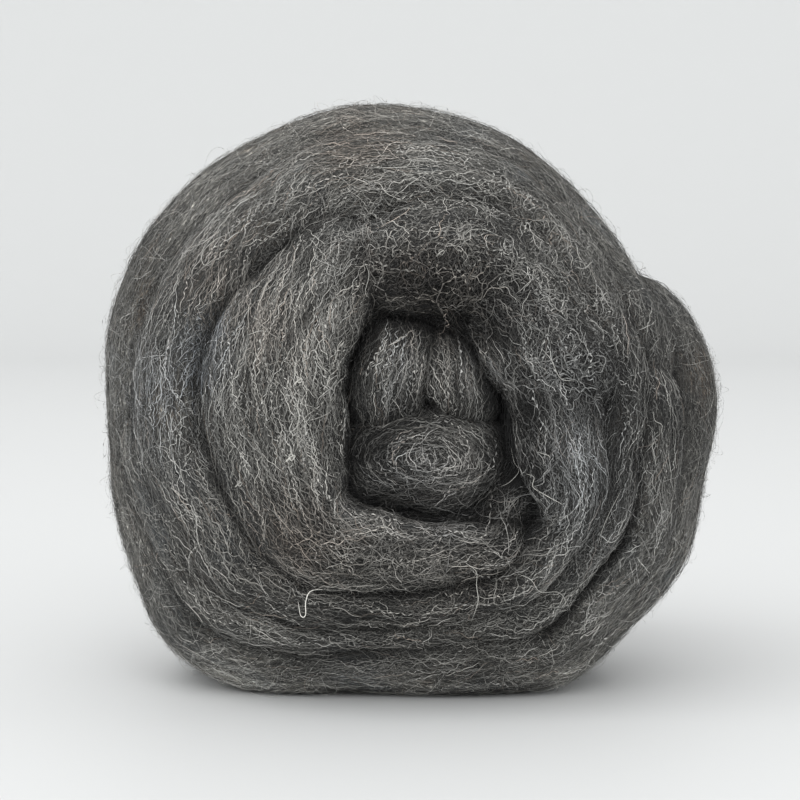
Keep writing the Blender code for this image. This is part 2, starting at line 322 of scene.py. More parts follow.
# The outer turn, from behind the left side round the bottom and up the right side.
OUTER_TURN = (
    # around, from eye, width, crown
    (168, 118, 20, -5.0),
    (180, 105, 24, -1.0),
    (194, 91, 27, 0.0),
    (205, 80, 28, 0.0),
    (216, 73, 29, 0.0),
    (227, 69, 28, 0.0),
    (238, 64, 27, 0.0),
    (250, 60, 27, 0.0),
    (264, 59, 28, 0.0),
    (278, 59, 28, 0.0),
    (296, 61, 28, 0.0),
    (312, 66, 28, 0.0),
    (325, 72, 27, 0.0),
    (338, 74, 28, 0.0),
    (349, 75, 29, 0.5),
    (361, 77, 29, 1.0),
    (371, 80, 28, 1.0),
    (380, 85, 25, 0.0),
    (389, 92, 20, -4.0),
)

# The narrow strand that the outer turn parts into on the right side.
OUTER_SPLIT = (
    # around, from eye, width, crown
    (290, 55, 8, -2.0),
    (303, 55, 12, 0.0),
    (325, 56, 14, 0.5),
    (338, 56, 15, 0.5),
    (350, 55, 15, 0.5),
    (362, 54, 14, 0.0),
    (374, 57, 10, -3.0),
)

# The curly top of the eye, which folds down over the broad turn on the right.
TOP_TURN = (
    # around, from eye, width, crown
    (118, 40, 12, -8.0),
    (110, 35, 18, -4.0),
    (97, 32, 22, -0.5),
    (82, 34, 24, 1.0),
    (66, 37, 24, 2.0),
    (52, 38, 25, 2.0),
    (37, 36, 26, 2.5),
    (26, 33, 25, 3.0),
    (14, 34, 20, 2.5),
    (5, 36, 14, 0.5),
    (-3, 38, 10, -4.0),
)

# The big left turn of the eye, which stands the most proud.
LEFT_TURN = (
    # around, from eye, width, crown
    (104, 43, 12, -6.0),
    (112, 38, 17, -1.0),
    (125, 32, 22, 1.5),
    (139, 29, 25, 2.5),
    (156, 28, 28, 3.0),
    (175, 28, 29, 3.0),
    (195, 27, 28, 3.0),
    (212, 26, 25, 2.5),
    (235, 25.5, 20, 2.0),
    (253, 26, 17, 1.5),
    (265, 26.5, 14.5, 1.5),
    (277, 27, 12.5, 1.0),
    (291, 27, 11.5, 0.5),
    (303, 27.5, 9, -0.5),
    (315, 28.5, 7, -4.0),
)

# The inner end, doubled into the eye: two lobes side by side, and the curled end under them.
LEFT_LOBE = (
    # around, from eye, width, crown
    (99, 27, 11, -17.0),
    (100, 20, 15, -10.0),
    (112, 13, 16, -7.5),
    (155, 7, 16, -7.5),
    (208, 8, 15, -10.0),
    (228, 13, 11, -16.0),
)
RIGHT_LOBE = (
    # around, from eye, width, crown
    (66, 29, 10, -17.0),
    (63, 22, 14, -10.5),
    (50, 17, 15, -8.0),
    (20, 12, 15, -8.0),
    (345, 10, 14, -10.5),
    (305, 11, 10, -16.0),
)
CURLED_END = (
    # around, from eye, width, crown
    (214, 24, 10, -14.0),
    (225, 15, 18, -7.5),
    (284, 11, 21, -6.0),
    (318, 17, 19, -7.5),
    (324, 25, 11, -13.0),
)


def cubic(before, start, end, after, u):
    """The Catmull-Rom curve from start, at u = 0, to end, at u = 1."""
    return start + 0.5 * u * (
        (end - before)
        + u * (2.0 * before - 5.0 * start + 4.0 * end - after)
        + u * u * (3.0 * (start - end) + after - before)
    )


def outline_radius(around):
    """Radius of the ball at an angle around the eye: a smooth curve through OUTLINE_RADIUS."""
    radii = np.array(OUTLINE_RADIUS)
    count = len(radii)
    place = np.mod(around, 360.0) / OUTLINE_STEP
    left = np.floor(place).astype(int)
    before, start, end, after = (radii[(left + k) % count] for k in (-1, 0, 1, 2))
    return cubic(before, start, end, after, place - left)


def direction(around, from_eye):
    """Unit vector for a place on the ball."""
    a = np.radians(around)
    e = np.radians(from_eye)
    return np.stack([np.sin(e) * np.cos(a), -np.cos(e), np.sin(e) * np.sin(a)], axis=-1)


def unit_length(vectors):
    """Vectors divided by their lengths."""
    return vectors / np.maximum(np.linalg.norm(vectors, axis=-1, keepdims=True), 1e-9)


def ball_surface(unit):
    """Point of the ball's mean surface in a direction, and the outward normal there."""
    around = np.degrees(np.arctan2(unit[..., 2], unit[..., 0]))
    radius = outline_radius(around)
    reach = np.stack([radius, np.full_like(radius, BALL_HALF_DEPTH), radius], axis=-1)
    return CENTRE + unit * reach, unit_length(unit / reach)


def smooth_rows(keys, spacing, least):
    """Rows of numbers joined by a smooth curve and sampled about every spacing, as measured in
    their first three columns, with at least so many samples from one row to the next."""
    padded = np.vstack([2.0 * keys[0] - keys[1], keys, 2.0 * keys[-1] - keys[-2]])
    pieces = []
    for i in range(len(keys) - 1):
        before, start, end, after = padded[i:i + 4]
        count = max(least, round(np.linalg.norm(end[:3] - start[:3]) / spacing))
        u = (np.arange(count) / count)[:, None]
        pieces.append(cubic(before, start, end, after, u))
    return np.vstack(pieces + [keys[-1:]])


def section_rows(rows):
    """A stretch's rows, sampled about every SAMPLE_STEP: directions, widths and crown heights."""
    table = np.array(rows, dtype=float)
    keys = np.column_stack([direction(table[:, 0], table[:, 1]), table[:, 2:]])
    sampled = smooth_rows(keys, SAMPLE_STEP / BALL_HALF_DEPTH, 2)
    return unit_length(sampled[:, :3]), sampled[:, 3], sampled[:, 4]


def cell_value(column, row, seed):
    """A fixed random value from -1 to 1 for each cell: the fraction of a large sine."""
    mixed = np.sin(column * 127.1 + row * 311.7 + seed * 74.7) * 43758.5453
    return 2.0 * (mixed - np.floor(mixed)) - 1.0


def soft_noise(x, y, seed):
    """Smooth noise from -1 to 1 over a plane: cell values blended by s-curves in x and y."""
    column = np.floor(x)
    row = np.floor(y)
    u = x - column
    v = y - row
    u = u * u * (3.0 - 2.0 * u)
    v = v * v * (3.0 - 2.0 * v)
    low = cell_value(column, row, seed) * (1.0 - u) + cell_value(column + 1, row, seed) * u
    high = cell_value(column, row + 1, seed) * (1.0 - u) + cell_value(column + 1, row + 1, seed) * u
    return low * (1.0 - v) + high * v


def above_floor(points):
    """The same points with their height bent smoothly so that none is under FLOOR_GAP."""
    raised = points.copy()
    over = (points[..., 2] - FLOOR_GAP) / FLOOR_SOFTNESS
    raised[..., 2] = FLOOR_GAP + FLOOR_SOFTNESS * np.logaddexp(0.0, over)
    return raised


def turn_skin(rows, seed):
    """One stretch of roving. An oval section is carried along the ball's surface; on its outer
    side, slow lumps and lengthwise ridges of noise stand off it. Gives the grid of points, and
    for each point the way along the roving, the length run so far and the girth from the crown."""
    unit, width, crown = section_rows(rows)
    surface, normal = ball_surface(unit)
    along = unit_length(np.gradient(surface, axis=0))
    across = unit_length(np.cross(along, normal))
    run = np.concatenate([[0.0], np.cumsum(np.linalg.norm(np.diff(surface, axis=0), axis=1))])
    from_end = np.minimum(run, run[-1] - run)
    closing = np.clip(from_end / END_ROUNDING, 0.05, 1.0)
    size = np.sqrt(1.0 - (1.0 - closing) ** 2)
    depth = np.maximum(STRAND_DEPTH_RATIO * width, STRAND_LEAST_DEPTH)
    middle = surface + normal * (crown - depth / 2.0)[:, None]

    outer = np.radians(np.linspace(*OUTER_ARC, OUTER_POINTS))
    inner = np.linspace(OUTER_ARC[1], OUTER_ARC[0] + 360.0, INNER_POINTS + 2)
    inner = np.radians(inner[1:-1])
    angle = np.concatenate([outer, inner])
    power = 2.0 / SECTION_POWER
    side = np.sign(np.cos(angle)) * np.abs(np.cos(angle)) ** power
    rise = np.sign(np.sin(angle)) * np.abs(np.sin(angle)) ** power
    half_width = (width * size / 2.0)[:, None]
    half_depth = (depth * size / 2.0)[:, None]
    sideways = (half_width * side)[..., None] * across[:, None, :]
    upwards = (half_depth * rise)[..., None] * normal[:, None, :]
    rings = middle[:, None, :] + sideways + upwards
    outward = unit_length(sideways / half_width[..., None] ** 2 + upwards / half_depth[..., None] ** 2)

    edges = np.linalg.norm(np.diff(rings, axis=1, append=rings[:, :1]), axis=2)
    girth = np.concatenate([np.zeros((len(run), 1)), np.cumsum(edges, axis=1)], axis=1)
    girth -= girth[:, OUTER_POINTS // 2][:, None]
    run_grid = np.repeat(run[:, None], len(angle), axis=1)
    around = girth[:, :-1]
    relief = LUMP_HEIGHT * soft_noise(run_grid / LUMP_LENGTH, around / LUMP_WIDTH, seed)
    relief += RIDGE_HEIGHT * soft_noise(run_grid / RIDGE_LENGTH, around / RIDGE_WIDTH, seed + 50)
    relief *= np.clip(rise * 1.5, 0.0, 1.0) * size[:, None]
    points = above_floor(rings + outward * relief[..., None])
    way = np.repeat(along[:, None, :], len(angle), axis=1)
    return {"points": points, "way": way, "run": run_grid, "girth": girth, "seed": seed}


def join_skins(skins):
    """Several skins in one: vertices, faces, and the triangles that close each end of a skin to a
    point in the middle of its last ring."""
    vertices, faces, triangles = [], [], []
    start = 0
    for skin in skins:
        points = skin["points"]
        count, columns = points.shape[:2]
        tip = start + count * columns
        vertices += [points.reshape(-1, 3), points[0].mean(axis=0), points[-1].mean(axis=0)]
        faces.append(start + grid_faces(count, columns, True))
        triangles.append(cap_triangles(start, columns, tip, False))
        triangles.append(cap_triangles(tip - columns, columns, tip + 1, True))
        start = tip + 2
    return np.vstack(vertices), np.vstack(faces), np.vstack(triangles)


def skin_mesh(name, skins):
    """A mesh of several skins, with their run and girth as its UV map. Each skin has its own part
    of the map, set off by its seed."""
    vertices, faces, triangles = join_skins(skins)
    corners = []
    for skin in skins:
        run = skin["run"] + UV_APART * skin["seed"]
        girth = skin["girth"]
        next_run = np.roll(run, -1, axis=0)[:-1]
        u = np.stack([run[:-1], next_run, next_run, run[:-1]], axis=-1)
        v = np.stack([girth[:-1, :-1], girth[1:, :-1], girth[1:, 1:], girth[:-1, 1:]], axis=-1)
        corners.append(np.stack([u, v], axis=-1).reshape(-1, 2))
    corners.append(np.zeros((triangles.size, 2)))
    mesh = new_mesh(name, vertices, faces, triangles)
    layer = mesh.uv_layers.new(name="roving_run")
    layer.uv.foreach_set("vector", (np.vstack(corners) / UV_UNIT).astype(np.float32).ravel())
    return mesh


class Nodes:
    """Adds nodes to a material, each with its inputs given as values or as other nodes' outputs."""

    def __init__(self, material):
        self.tree = material.node_tree

    def add(self, kind, inputs=None, **settings):
        """A new node of a kind, with its inputs set or linked and its settings made."""
        node = self.tree.nodes.new(kind)
        for name, value in settings.items():
            setattr(node, name, value)
        for name, value in (inputs or {}).items():
            if isinstance(value, bpy.types.NodeSocket):
                self.tree.links.new(value, node.inputs[name])
            else:
                node.inputs[name].default_value = value
        return node

    def math(self, operation, first, second=0.0, clamp=False):
        """One step of arithmetic on two numbers or outputs."""
        inputs = {0: first, 1: second}
        return self.add("ShaderNodeMath", inputs, operation=operation, use_clamp=clamp).outputs[0]

    def tinted(self, colour, tint):
        """One colour multiplied by another."""
        inputs = {0: 1.0, 1: colour, 2: tint}
        return self.add("ShaderNodeMixRGB", inputs, blend_type="MULTIPLY").outputs["Color"]

    def ramp(self, factor, stops):
        """A colour ramp whose stops are (place, grey or colour)."""
        node = self.add("ShaderNodeValToRGB", {"Fac": factor})
        elements = node.color_ramp.elements
        while len(elements) < len(stops):
            elements.new(0.5)
        for element, (place, colour) in zip(elements, stops):
            element.position = place
            element.color = (colour, colour, colour, 1.0) if isinstance(colour, float) else colour
        return node.outputs["Color"]


FIBRE_CELLS = (20.0, 190.0, 1.0)     # cells of the fibre noise in a unit of run, and of girth
FIBRE_THINNESS = 11.0      # higher for thinner fibres
CRIMP_CELLS = (60.0, 54.0, 1.0)      # cells of the crimp noise in the same units
CRIMP_SWING = 0.0042       # sideways swing of a crimp, in the map's units
STREAK_CELLS = (5.0, 60.0, 1.0)
PATCH_CELLS = 55.0         # cells of the noise of brown and slate patches in a metre

# The layers of fibres in the wool's surface, from the lowest up.
FIBRE_LAYERS = (
    # shift, lean, strength
    (0.0, 0.0, 0.55),
    (7.3, 0.22, 0.60),
    (3.1, -0.26, 0.65),
    (5.7, 0.08, 0.85),
    (9.9, -0.10, 1.0),
)
FIBRE_SHADES = (
    # how near a fibre's middle, colour
    (0.0, (0.006, 0.006, 0.006, 1.0)),
    (0.35, (0.016, 0.016, 0.015, 1.0)),
    (0.70, (0.055, 0.054, 0.050, 1.0)),
    (1.0, (0.140, 0.138, 0.129, 1.0)),
)
STREAK_SHADES = (
    # noise, share of the colour
    (0.3, 0.60),
    (0.7, 1.25),
)
PATCH_TINTS = (
    # noise, tint: slate, then neutral, then brown
    (0.34, (0.90, 0.96, 1.03, 1.0)),
    (0.48, (1.0, 0.985, 0.955, 1.0)),
    (0.60, (1.0, 0.985, 0.955, 1.0)),
    (0.74, (1.15, 0.95, 0.80, 1.0)),
)


def fibre_lines(nodes, place, shift, lean):
    """Thin crimped lines along the roving: the places where a stretched noise crosses its middle
    value. The lean slants them, and a finer noise pushes them from side to side."""
    parts = nodes.add("ShaderNodeSeparateXYZ", {"Vector": place})
    crimp_place = nodes.add("ShaderNodeMapping", {
        "Vector": place,
        "Location": (shift, shift, 0.0),
        "Scale": CRIMP_CELLS,
    })
    crimp = nodes.add("ShaderNodeTexNoise", {
        "Vector": crimp_place.outputs["Vector"], "Scale": 1.0, "Detail": 1.0,
    }, noise_dimensions="2D")
    swing = nodes.math("MULTIPLY", crimp.outputs["Fac"], 2.0 * CRIMP_SWING)
    slant = nodes.math("MULTIPLY", parts.outputs["X"], lean)
    girth = nodes.math("ADD", nodes.math("ADD", parts.outputs["Y"], swing), slant)
    bent = nodes.add("ShaderNodeCombineXYZ", {"X": parts.outputs["X"], "Y": girth})
    stretched = nodes.add("ShaderNodeMapping", {
        "Vector": bent.outputs["Vector"],
        "Location": (shift * 3.0, shift * 5.0, 0.0),
        "Scale": FIBRE_CELLS,
    })
    noise = nodes.add("ShaderNodeTexNoise", {
        "Vector": stretched.outputs["Vector"], "Scale": 1.0, "Detail": 0.0,
    }, noise_dimensions="2D")
    off_middle = nodes.math("ABSOLUTE", nodes.math("SUBTRACT", noise.outputs["Fac"], 0.5))
    fall = nodes.math("MULTIPLY", off_middle, FIBRE_THINNESS)
    return nodes.math("SUBTRACT", 1.0, fall, clamp=True)


def roving_material():
    """Felted charcoal wool: layers of thin crimped lines over each other, which give the colour
    and the relief. Streaks make them lighter and darker, and a slow noise brings in brown and
    slate wool. The mesh says how much light is left: painted shade in the hollows between the
    turns, and painted light and shade in the spots, along with the wool's own streaks and tone."""
    material = bpy.data.materials.new("charcoal_roving")
    material.use_nodes = True
    nodes = Nodes(material)
    shader = material.node_tree.nodes["Principled BSDF"]
    place = nodes.add("ShaderNodeUVMap", uv_map="roving_run").outputs["UV"]
    fibres = 0.0
    for shift, lean, strength in FIBRE_LAYERS:
        layer = nodes.math("MULTIPLY", fibre_lines(nodes, place, shift, lean), strength)
        fibres = nodes.math("MAXIMUM", fibres, layer)
    streak_place = nodes.add("ShaderNodeMapping", {"Vector": place, "Scale": STREAK_CELLS})
    streaks = nodes.add("ShaderNodeTexNoise", {
        "Vector": streak_place.outputs["Vector"], "Scale": 1.0, "Detail": 2.0,
    }, noise_dimensions="2D").outputs["Fac"]
    shade = nodes.ramp(fibres, FIBRE_SHADES)
    streak_shade = nodes.ramp(streaks, STREAK_SHADES)
    whole = nodes.add("ShaderNodeTexCoord").outputs["Object"]
    patch_inputs = {"Vector": whole, "Scale": PATCH_CELLS, "Detail": 2.0}
    patches = nodes.add("ShaderNodeTexNoise", patch_inputs).outputs["Fac"]
    tint = nodes.ramp(patches, PATCH_TINTS)
    # Painted shade in the hollows and painted light and shade of the spots, with the wool's own
    # streaks, read from the mesh.
    light_left = nodes.add("ShaderNodeAttribute", attribute_name="light_share").outputs["Fac"]
    colour = nodes.tinted(nodes.tinted(nodes.tinted(shade, streak_shade), tint), light_left)
    bump = nodes.add("ShaderNodeBump", {"Height": fibres, "Strength": 0.9, "Distance": 0.0004})
    link = material.node_tree.links.new
    link(colour, shader.inputs["Base Color"])
    link(bump.outputs["Normal"], shader.inputs["Normal"])
    shader.inputs["Roughness"].default_value = 0.85
    shader.inputs["Specular IOR Level"].default_value = 0.25
    shader.inputs["Sheen Weight"].default_value = 0.08
    shader.inputs["Sheen Roughness"].default_value = 0.5
    return material


front_turns = [
    BROAD_TURN, RIM_TURN, OUTER_TURN, OUTER_SPLIT, TOP_TURN, LEFT_TURN,
    LEFT_LOBE, RIGHT_LOBE, CURLED_END,
]
front_skins = [turn_skin(rows, seed) for seed, rows in enumerate(front_turns)]
roving_wool = roving_material()
wound_turns = new_piece("wound_turns", skin_mesh("wound_turns", front_skins), roving_wool)
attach(wound_turns, "root")
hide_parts("roving_ball")


# ------------------------------------------------------------------------- Back winding
# The same roving behind the rim: a plain spiral to the middle of the back, and three wraps laid
# across it, with their ends pushed in under their neighbours.

BACK_SPIRAL_START = (150.0, 91.0)    # angle around the eye, angle from the eye
BACK_SPIRAL_END = (1390.0, 166.0)
BACK_SPIRAL_ROWS = 72
BACK_SPIRAL_WIDTH = 27.0
BACK_SPIRAL_CROWN = -0.5

# Each wrap is a piece of a circle about an axis through the ball: the axis's two angles, the
# angle between it and the wrap, and the wrap's length, all in degrees, then the width and the
# height of the crown.
BACK_WRAPS = (
    # axis around, axis from eye, lean, length, width, crown
    (118, 98, 86, 164, 27, 0.5),
    (22, 112, 82, 166, 28, 1.5),
    (72, 78, 70, 150, 26, 2.5),
)
WRAP_ROWS = 20             # sections that set out one wrap
TUCK_ROWS = 5              # sections over which a tucked end sinks
TUCK_DEPTH = 11.0          # how deep it is pushed in
TUCK_NARROWING = 0.4       # share of its width that it loses


def tucked(row_count, width, crown):
    """Widths and crown heights of a stretch whose two ends are pushed in under its neighbours."""
    row = np.arange(row_count)
    from_end = np.minimum(row, row_count - 1 - row)
    tuck = np.clip(1.0 - from_end / TUCK_ROWS, 0.0, 1.0)
    return width * (1.0 - TUCK_NARROWING * tuck), crown - TUCK_DEPTH * tuck ** 2


def spiral_rows():
    """Rows of the plain winding behind the rim, evenly spaced in both angles."""
    around = np.linspace(BACK_SPIRAL_START[0], BACK_SPIRAL_END[0], BACK_SPIRAL_ROWS)
    from_eye = np.linspace(BACK_SPIRAL_START[1], BACK_SPIRAL_END[1], BACK_SPIRAL_ROWS)
    widths, crowns = tucked(BACK_SPIRAL_ROWS, BACK_SPIRAL_WIDTH, BACK_SPIRAL_CROWN)
    return np.column_stack([around, from_eye, widths, crowns])


def wrap_rows(axis_around, axis_from_eye, lean_degrees, length_degrees, width, crown):
    """Rows of one wrap: a piece of the circle at the lean from its axis, middle to the back."""
    axis = direction(axis_around, axis_from_eye)
    back = np.array([0.0, 1.0, 0.0])
    side = unit_length(back - axis * np.dot(back, axis))
    other = np.cross(axis, side)
    turn = np.radians(np.linspace(-0.5, 0.5, WRAP_ROWS) * length_degrees)[:, None]
    lean = np.radians(lean_degrees)
    unit = np.cos(lean) * axis + np.sin(lean) * (np.cos(turn) * side + np.sin(turn) * other)
    around = np.degrees(np.arctan2(unit[:, 2], unit[:, 0]))
    from_eye = np.degrees(np.arccos(-unit[:, 1]))
    widths, crowns = tucked(WRAP_ROWS, width, crown)
    return np.column_stack([around, from_eye, widths, crowns])


back_turns = [spiral_rows()] + [wrap_rows(*wrap) for wrap in BACK_WRAPS]
back_skins = [turn_skin(rows, seed + len(front_skins)) for seed, rows in enumerate(back_turns)]
back_winding = new_piece("back_winding", skin_mesh("back_winding", back_skins), roving_wool)
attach(back_winding, "root")


# ------------------------------------------------------------------------- Wound middle
# The first turns, buried under the rest, which show only as dark wool between the outer turns
# and at the bottom of the eye. Same roving, wound tight.

CORE_DEPTH = 5.5           # how far the wound middle lies under the outermost turns
EYE_DEPTH = 22.0           # the same, inside the eye
EYE_FLOOR_ANGLE = 11.0     # the eye is at its full depth up to this angle from its middle
EYE_RIM_ANGLE = 25.0       # and the middle is back at its usual depth from here on
CORE_STEPS_AROUND = 96
CORE_STEPS_FROM_EYE = 48


def core_skin():
    """The ball's surface drawn in by a depth that swells smoothly inside the eye."""
    from_eye = np.linspace(0.0, 180.0, CORE_STEPS_FROM_EYE + 1)[1:-1]
    around = np.linspace(0.0, 360.0, CORE_STEPS_AROUND, endpoint=False)
    eye_grid, around_grid = np.meshgrid(from_eye, around, indexing="ij")
    surface, normal = ball_surface(direction(around_grid, eye_grid))
    blend = np.clip((eye_grid - EYE_FLOOR_ANGLE) / (EYE_RIM_ANGLE - EYE_FLOOR_ANGLE), 0.0, 1.0)
    blend = blend * blend * (3.0 - 2.0 * blend)
    depth = EYE_DEPTH + (CORE_DEPTH - EYE_DEPTH) * blend
    points = above_floor(surface - normal * depth[..., None])
    run = np.radians(around_grid) * BALL_HALF_DEPTH
    girth = np.radians(eye_grid) * BALL_HALF_DEPTH
    girth = np.concatenate([girth, girth[:, :1]], axis=1)
    way = unit_length(np.roll(points, -1, axis=1) - points)
    return {"points": points, "way": way, "run": run, "girth": girth, "seed": 20}


core_skins = [core_skin()]
wound_middle = new_piece("wound_middle", skin_mesh("wound_middle", core_skins), roving_wool)
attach(wound_middle, "root")


# ----------------------------------------------------------------------- Combed fibres
# The outermost fibres of the roving: fine crimped wool hairs, mostly along the run, which lie on
# and a little over the turns and bridge the creases between them. Most are charcoal, some grey,
# a few nearly white, and they lie in locks. In places they are brushed up into curls.

MAP_STEP = 0.5             # degrees between the cells of the map of the ball's skin
MAP_ROWS = 360
MAP_COLUMNS = 720
MAP_REACH = 110.0          # from the ball's middle to where the map's rays start
LEAST_FACING = 0.35        # cosine of the steepest slope whose larger area is made up for
BRIDGE_REACH = 0.5         # fibres span hollows narrower than about twice this
SOFT_BRIDGE = 4.0          # and so many times wider ones where the creases are soft
BRIDGE_SAG = 0.1           # how far they may lie under the skin

STEEPEST = 1.2             # rise or fall of a fibre, to 1 along the skin
CLIFF = 0.9                # a fibre that would hang over a cliff by more than this is left out
HANGING_SHARE = 0.4        # except for this share of them
HANGING_MOST = 3.0         # which may hang by so much

# Painted shade: how the colour darkens in the hollows between turns, where less light falls, for
# hollows of three sizes.
HOLLOWS = (
    # reach, drop of the tone's logarithm at most, depth over which it drops, how much it varies
    (7.0, 0.9, 4.5, 0.0),
    (3.0, 1.1, 1.1, 1.0),
    (1.4, 0.8, 0.7, 1.0),
)
HOLLOW_FROM = 0.15         # depth from which a hollow counts
# The painted shade in the creases changes in strength over the ball.
CREASE_PATCH = 13.0        # length over which the creases change between sharp and soft
CREASE_STRENGTH = 0.75     # their usual strength
CREASE_SWING = 0.55        # how much it swings
CREASE_LIMITS = (0.2, 1.2)
HANGING = 1.2              # fibres higher than this over the skin catch more light

# Where the creases are soft, bridged by fibres: the middle of the place, its size, and how soft.
SOFT_CREASES = (
    # right, up, radius, softness
    (-9.0, 37.0, 8.0, 1.0),
    (-9.0, 28.0, 6.0, 0.8),
    (0.0, 40.0, 8.0, 0.95),
    (9.0, 40.0, 8.0, 0.95),
    (19.0, 36.0, 8.0, 1.0),
    (29.0, 31.0, 8.0, 0.9),
    (-35.0, -31.0, 7.0, 0.6),
    (-26.0, -38.0, 7.0, 0.7),
    (-14.0, -42.0, 8.0, 0.6),
    (-8.0, 56.0, 13.0, 0.6),
    (18.0, 55.0, 13.0, 0.7),
    (38.0, 42.0, 10.0, 0.6),
    (19.0, -30.0, 6.0, 0.7),
    (12.0, 9.0, 3.5, 0.6),
    (3.0, -24.0, 6.0, 0.6),
    (-12.8, -19.0, 4.0, 0.8),
)

# Lighter and darker streaks along the roving: their length, width and change in the tone.
STREAKS = (
    # length, width, tone
    (45.0, 4.5, 0.25),
    (30.0, 1.7, 0.32),
    (14.0, 0.8, 0.25),
)

FIBRE_LENGTH = (4.8, 9.6)  # of a fibre with FIBRE_STEPS steps; one with fewer is shorter
FIBRE_STEPS = 24.0
FIBRE_WIDTH = (0.06, 0.11)
RAISED_WIDTH = 0.05        # how much wider the topmost fibres are
FIBRE_LIFT = (0.02, 0.65)  # height over the skin
# Painted light and shade by height: the topmost fibres are painted lighter and the lowest darker.
LIFT_LIGHT_AND_SHADE = 1.2            # how much lighter the topmost fibres are, in the tone's logarithm
LOCK_SIZE = 4              # fibres that lie together in a lock
LOCK_SPREAD = 0.55
LONE_SHARE = 0.3           # share of the fibres that lie in no lock
FIBRE_LEAN = 22.0          # usual angle to the roving's run, in degrees
FIBRE_BEND = (0.02, 0.12)  # how fast a fibre's heading swings, in radians to the millimetre
FIBRE_WAVE = (7.0, 16.0)   # length of one swing
CRIMP_WAVE = (1.7, 3.2)
CRIMP_HEIGHT = (0.10, 0.34)
FIBRE_ROLL = 25.0          # turn of a fibre's flat side about its length, in degrees

# What a whole curl adds to a fibre, and how much of it some fibres have anywhere on the ball.
CURL_LEAN = 45.0
CURL_BEND = 0.45
CURL_DRIFT = 0.35
STRAY_SHARE = 0.10
STRAY_CURL = 0.25

FIBRE_TONE = 0.133         # usual reflectance of a fibre
FIBRE_TONE_SPREAD = 0.52   # of the tone's logarithm
FIBRE_TONE_MOST = 0.46     # reflectance of the lightest
RAISED_MEAN = 0.33         # how raised a fibre of the usual tone is
# A dark spot's tone is mostly painted shade, and falls more on the lowest fibres than on the topmost.
DARK_SPOTS = (1.3, 0.4)    # share of a dark spot's tone that the lowest and topmost fibres take
STREAKS_LEFT = 0.5         # least share of a streak's tone where the wool is even in tone
# The spots' painted light and shade, with their own tone, reach the wool under the fibres too.
GROUND_SPOTS = 1.6         # share of a spot's tone that the wool under the fibres takes
CALM_DEPTHS = (-42.0, -15.0)    # depths between which the fibres grow more even in tone
CALM = 0.85                # and how much more even
CALM_GROUND = 1.3          # how much lighter the wool between them is there
BROWN_FIBRES = 0.04        # share of brown fibres among the others
NEUTRAL_WOOL = (1.0, 0.985, 0.915)
BROWN_WOOL = (0.90, 0.76, 0.64)
SLATE_WOOL = (0.92, 0.98, 1.04)

SPOTS_FROM = 5.0           # spots mark the skin at least this far in front of the ball's middle

# Where the fibres are combed upright, on the left turn, and into arcs, on the two lobes: the
# middle of the place, its size, and the fibres' lean to the right from upright, in degrees.
COMBED_SPOTS = (
    # right, up, radius, lean
    (-29.0, 25.0, 12.0, 10.0),
    (-19.0, 29.0, 10.0, 12.0),
    (-35.0, 12.0, 10.0, 6.0),
    (-25.0, 8.0, 11.0, -2.0),
    (-16.0, 12.0, 8.0, -8.0),
    (12.5, 11.0, 3.5, -30.0),
    (14.0, 4.5, 3.0, -8.0),
    (-8.5, 11.0, 3.5, 24.0),
    (-9.5, 2.0, 3.0, 0.0),
)

# Where the fibres are brushed up into curls, and, with a curl under zero, where they are combed
# straight: the place seen at the eye, right of and above the middle of the ball, and its size.
CURLY_SPOTS = (
    # right, up, radius, curl
    (-22.0, 24.0, 15.0, -0.6),
    (-24.0, -4.0, 13.0, -0.4),
    (-3.0, 7.0, 7.0, -0.8),
    (10.5, 5.5, 7.0, -0.9),
    (33.0, -17.0, 9.0, -0.6),
    (3.0, 27.0, 10.0, 1.0),
    (18.0, 32.0, 11.0, 1.0),
    (32.0, 20.0, 10.0, 0.8),
    (33.0, 8.0, 7.0, 0.7),
    (3.0, -13.0, 10.0, 0.25),
    (-8.0, 31.0, 9.0, 0.7),
    (-22.0, 35.0, 9.0, 0.4),
    (12.0, -36.0, 10.0, 0.5),
    (-12.0, -30.0, 9.0, 0.5),
    (36.0, -28.0, 9.0, 0.4),
    (-27.0, 0.0, 7.0, 0.3),
)
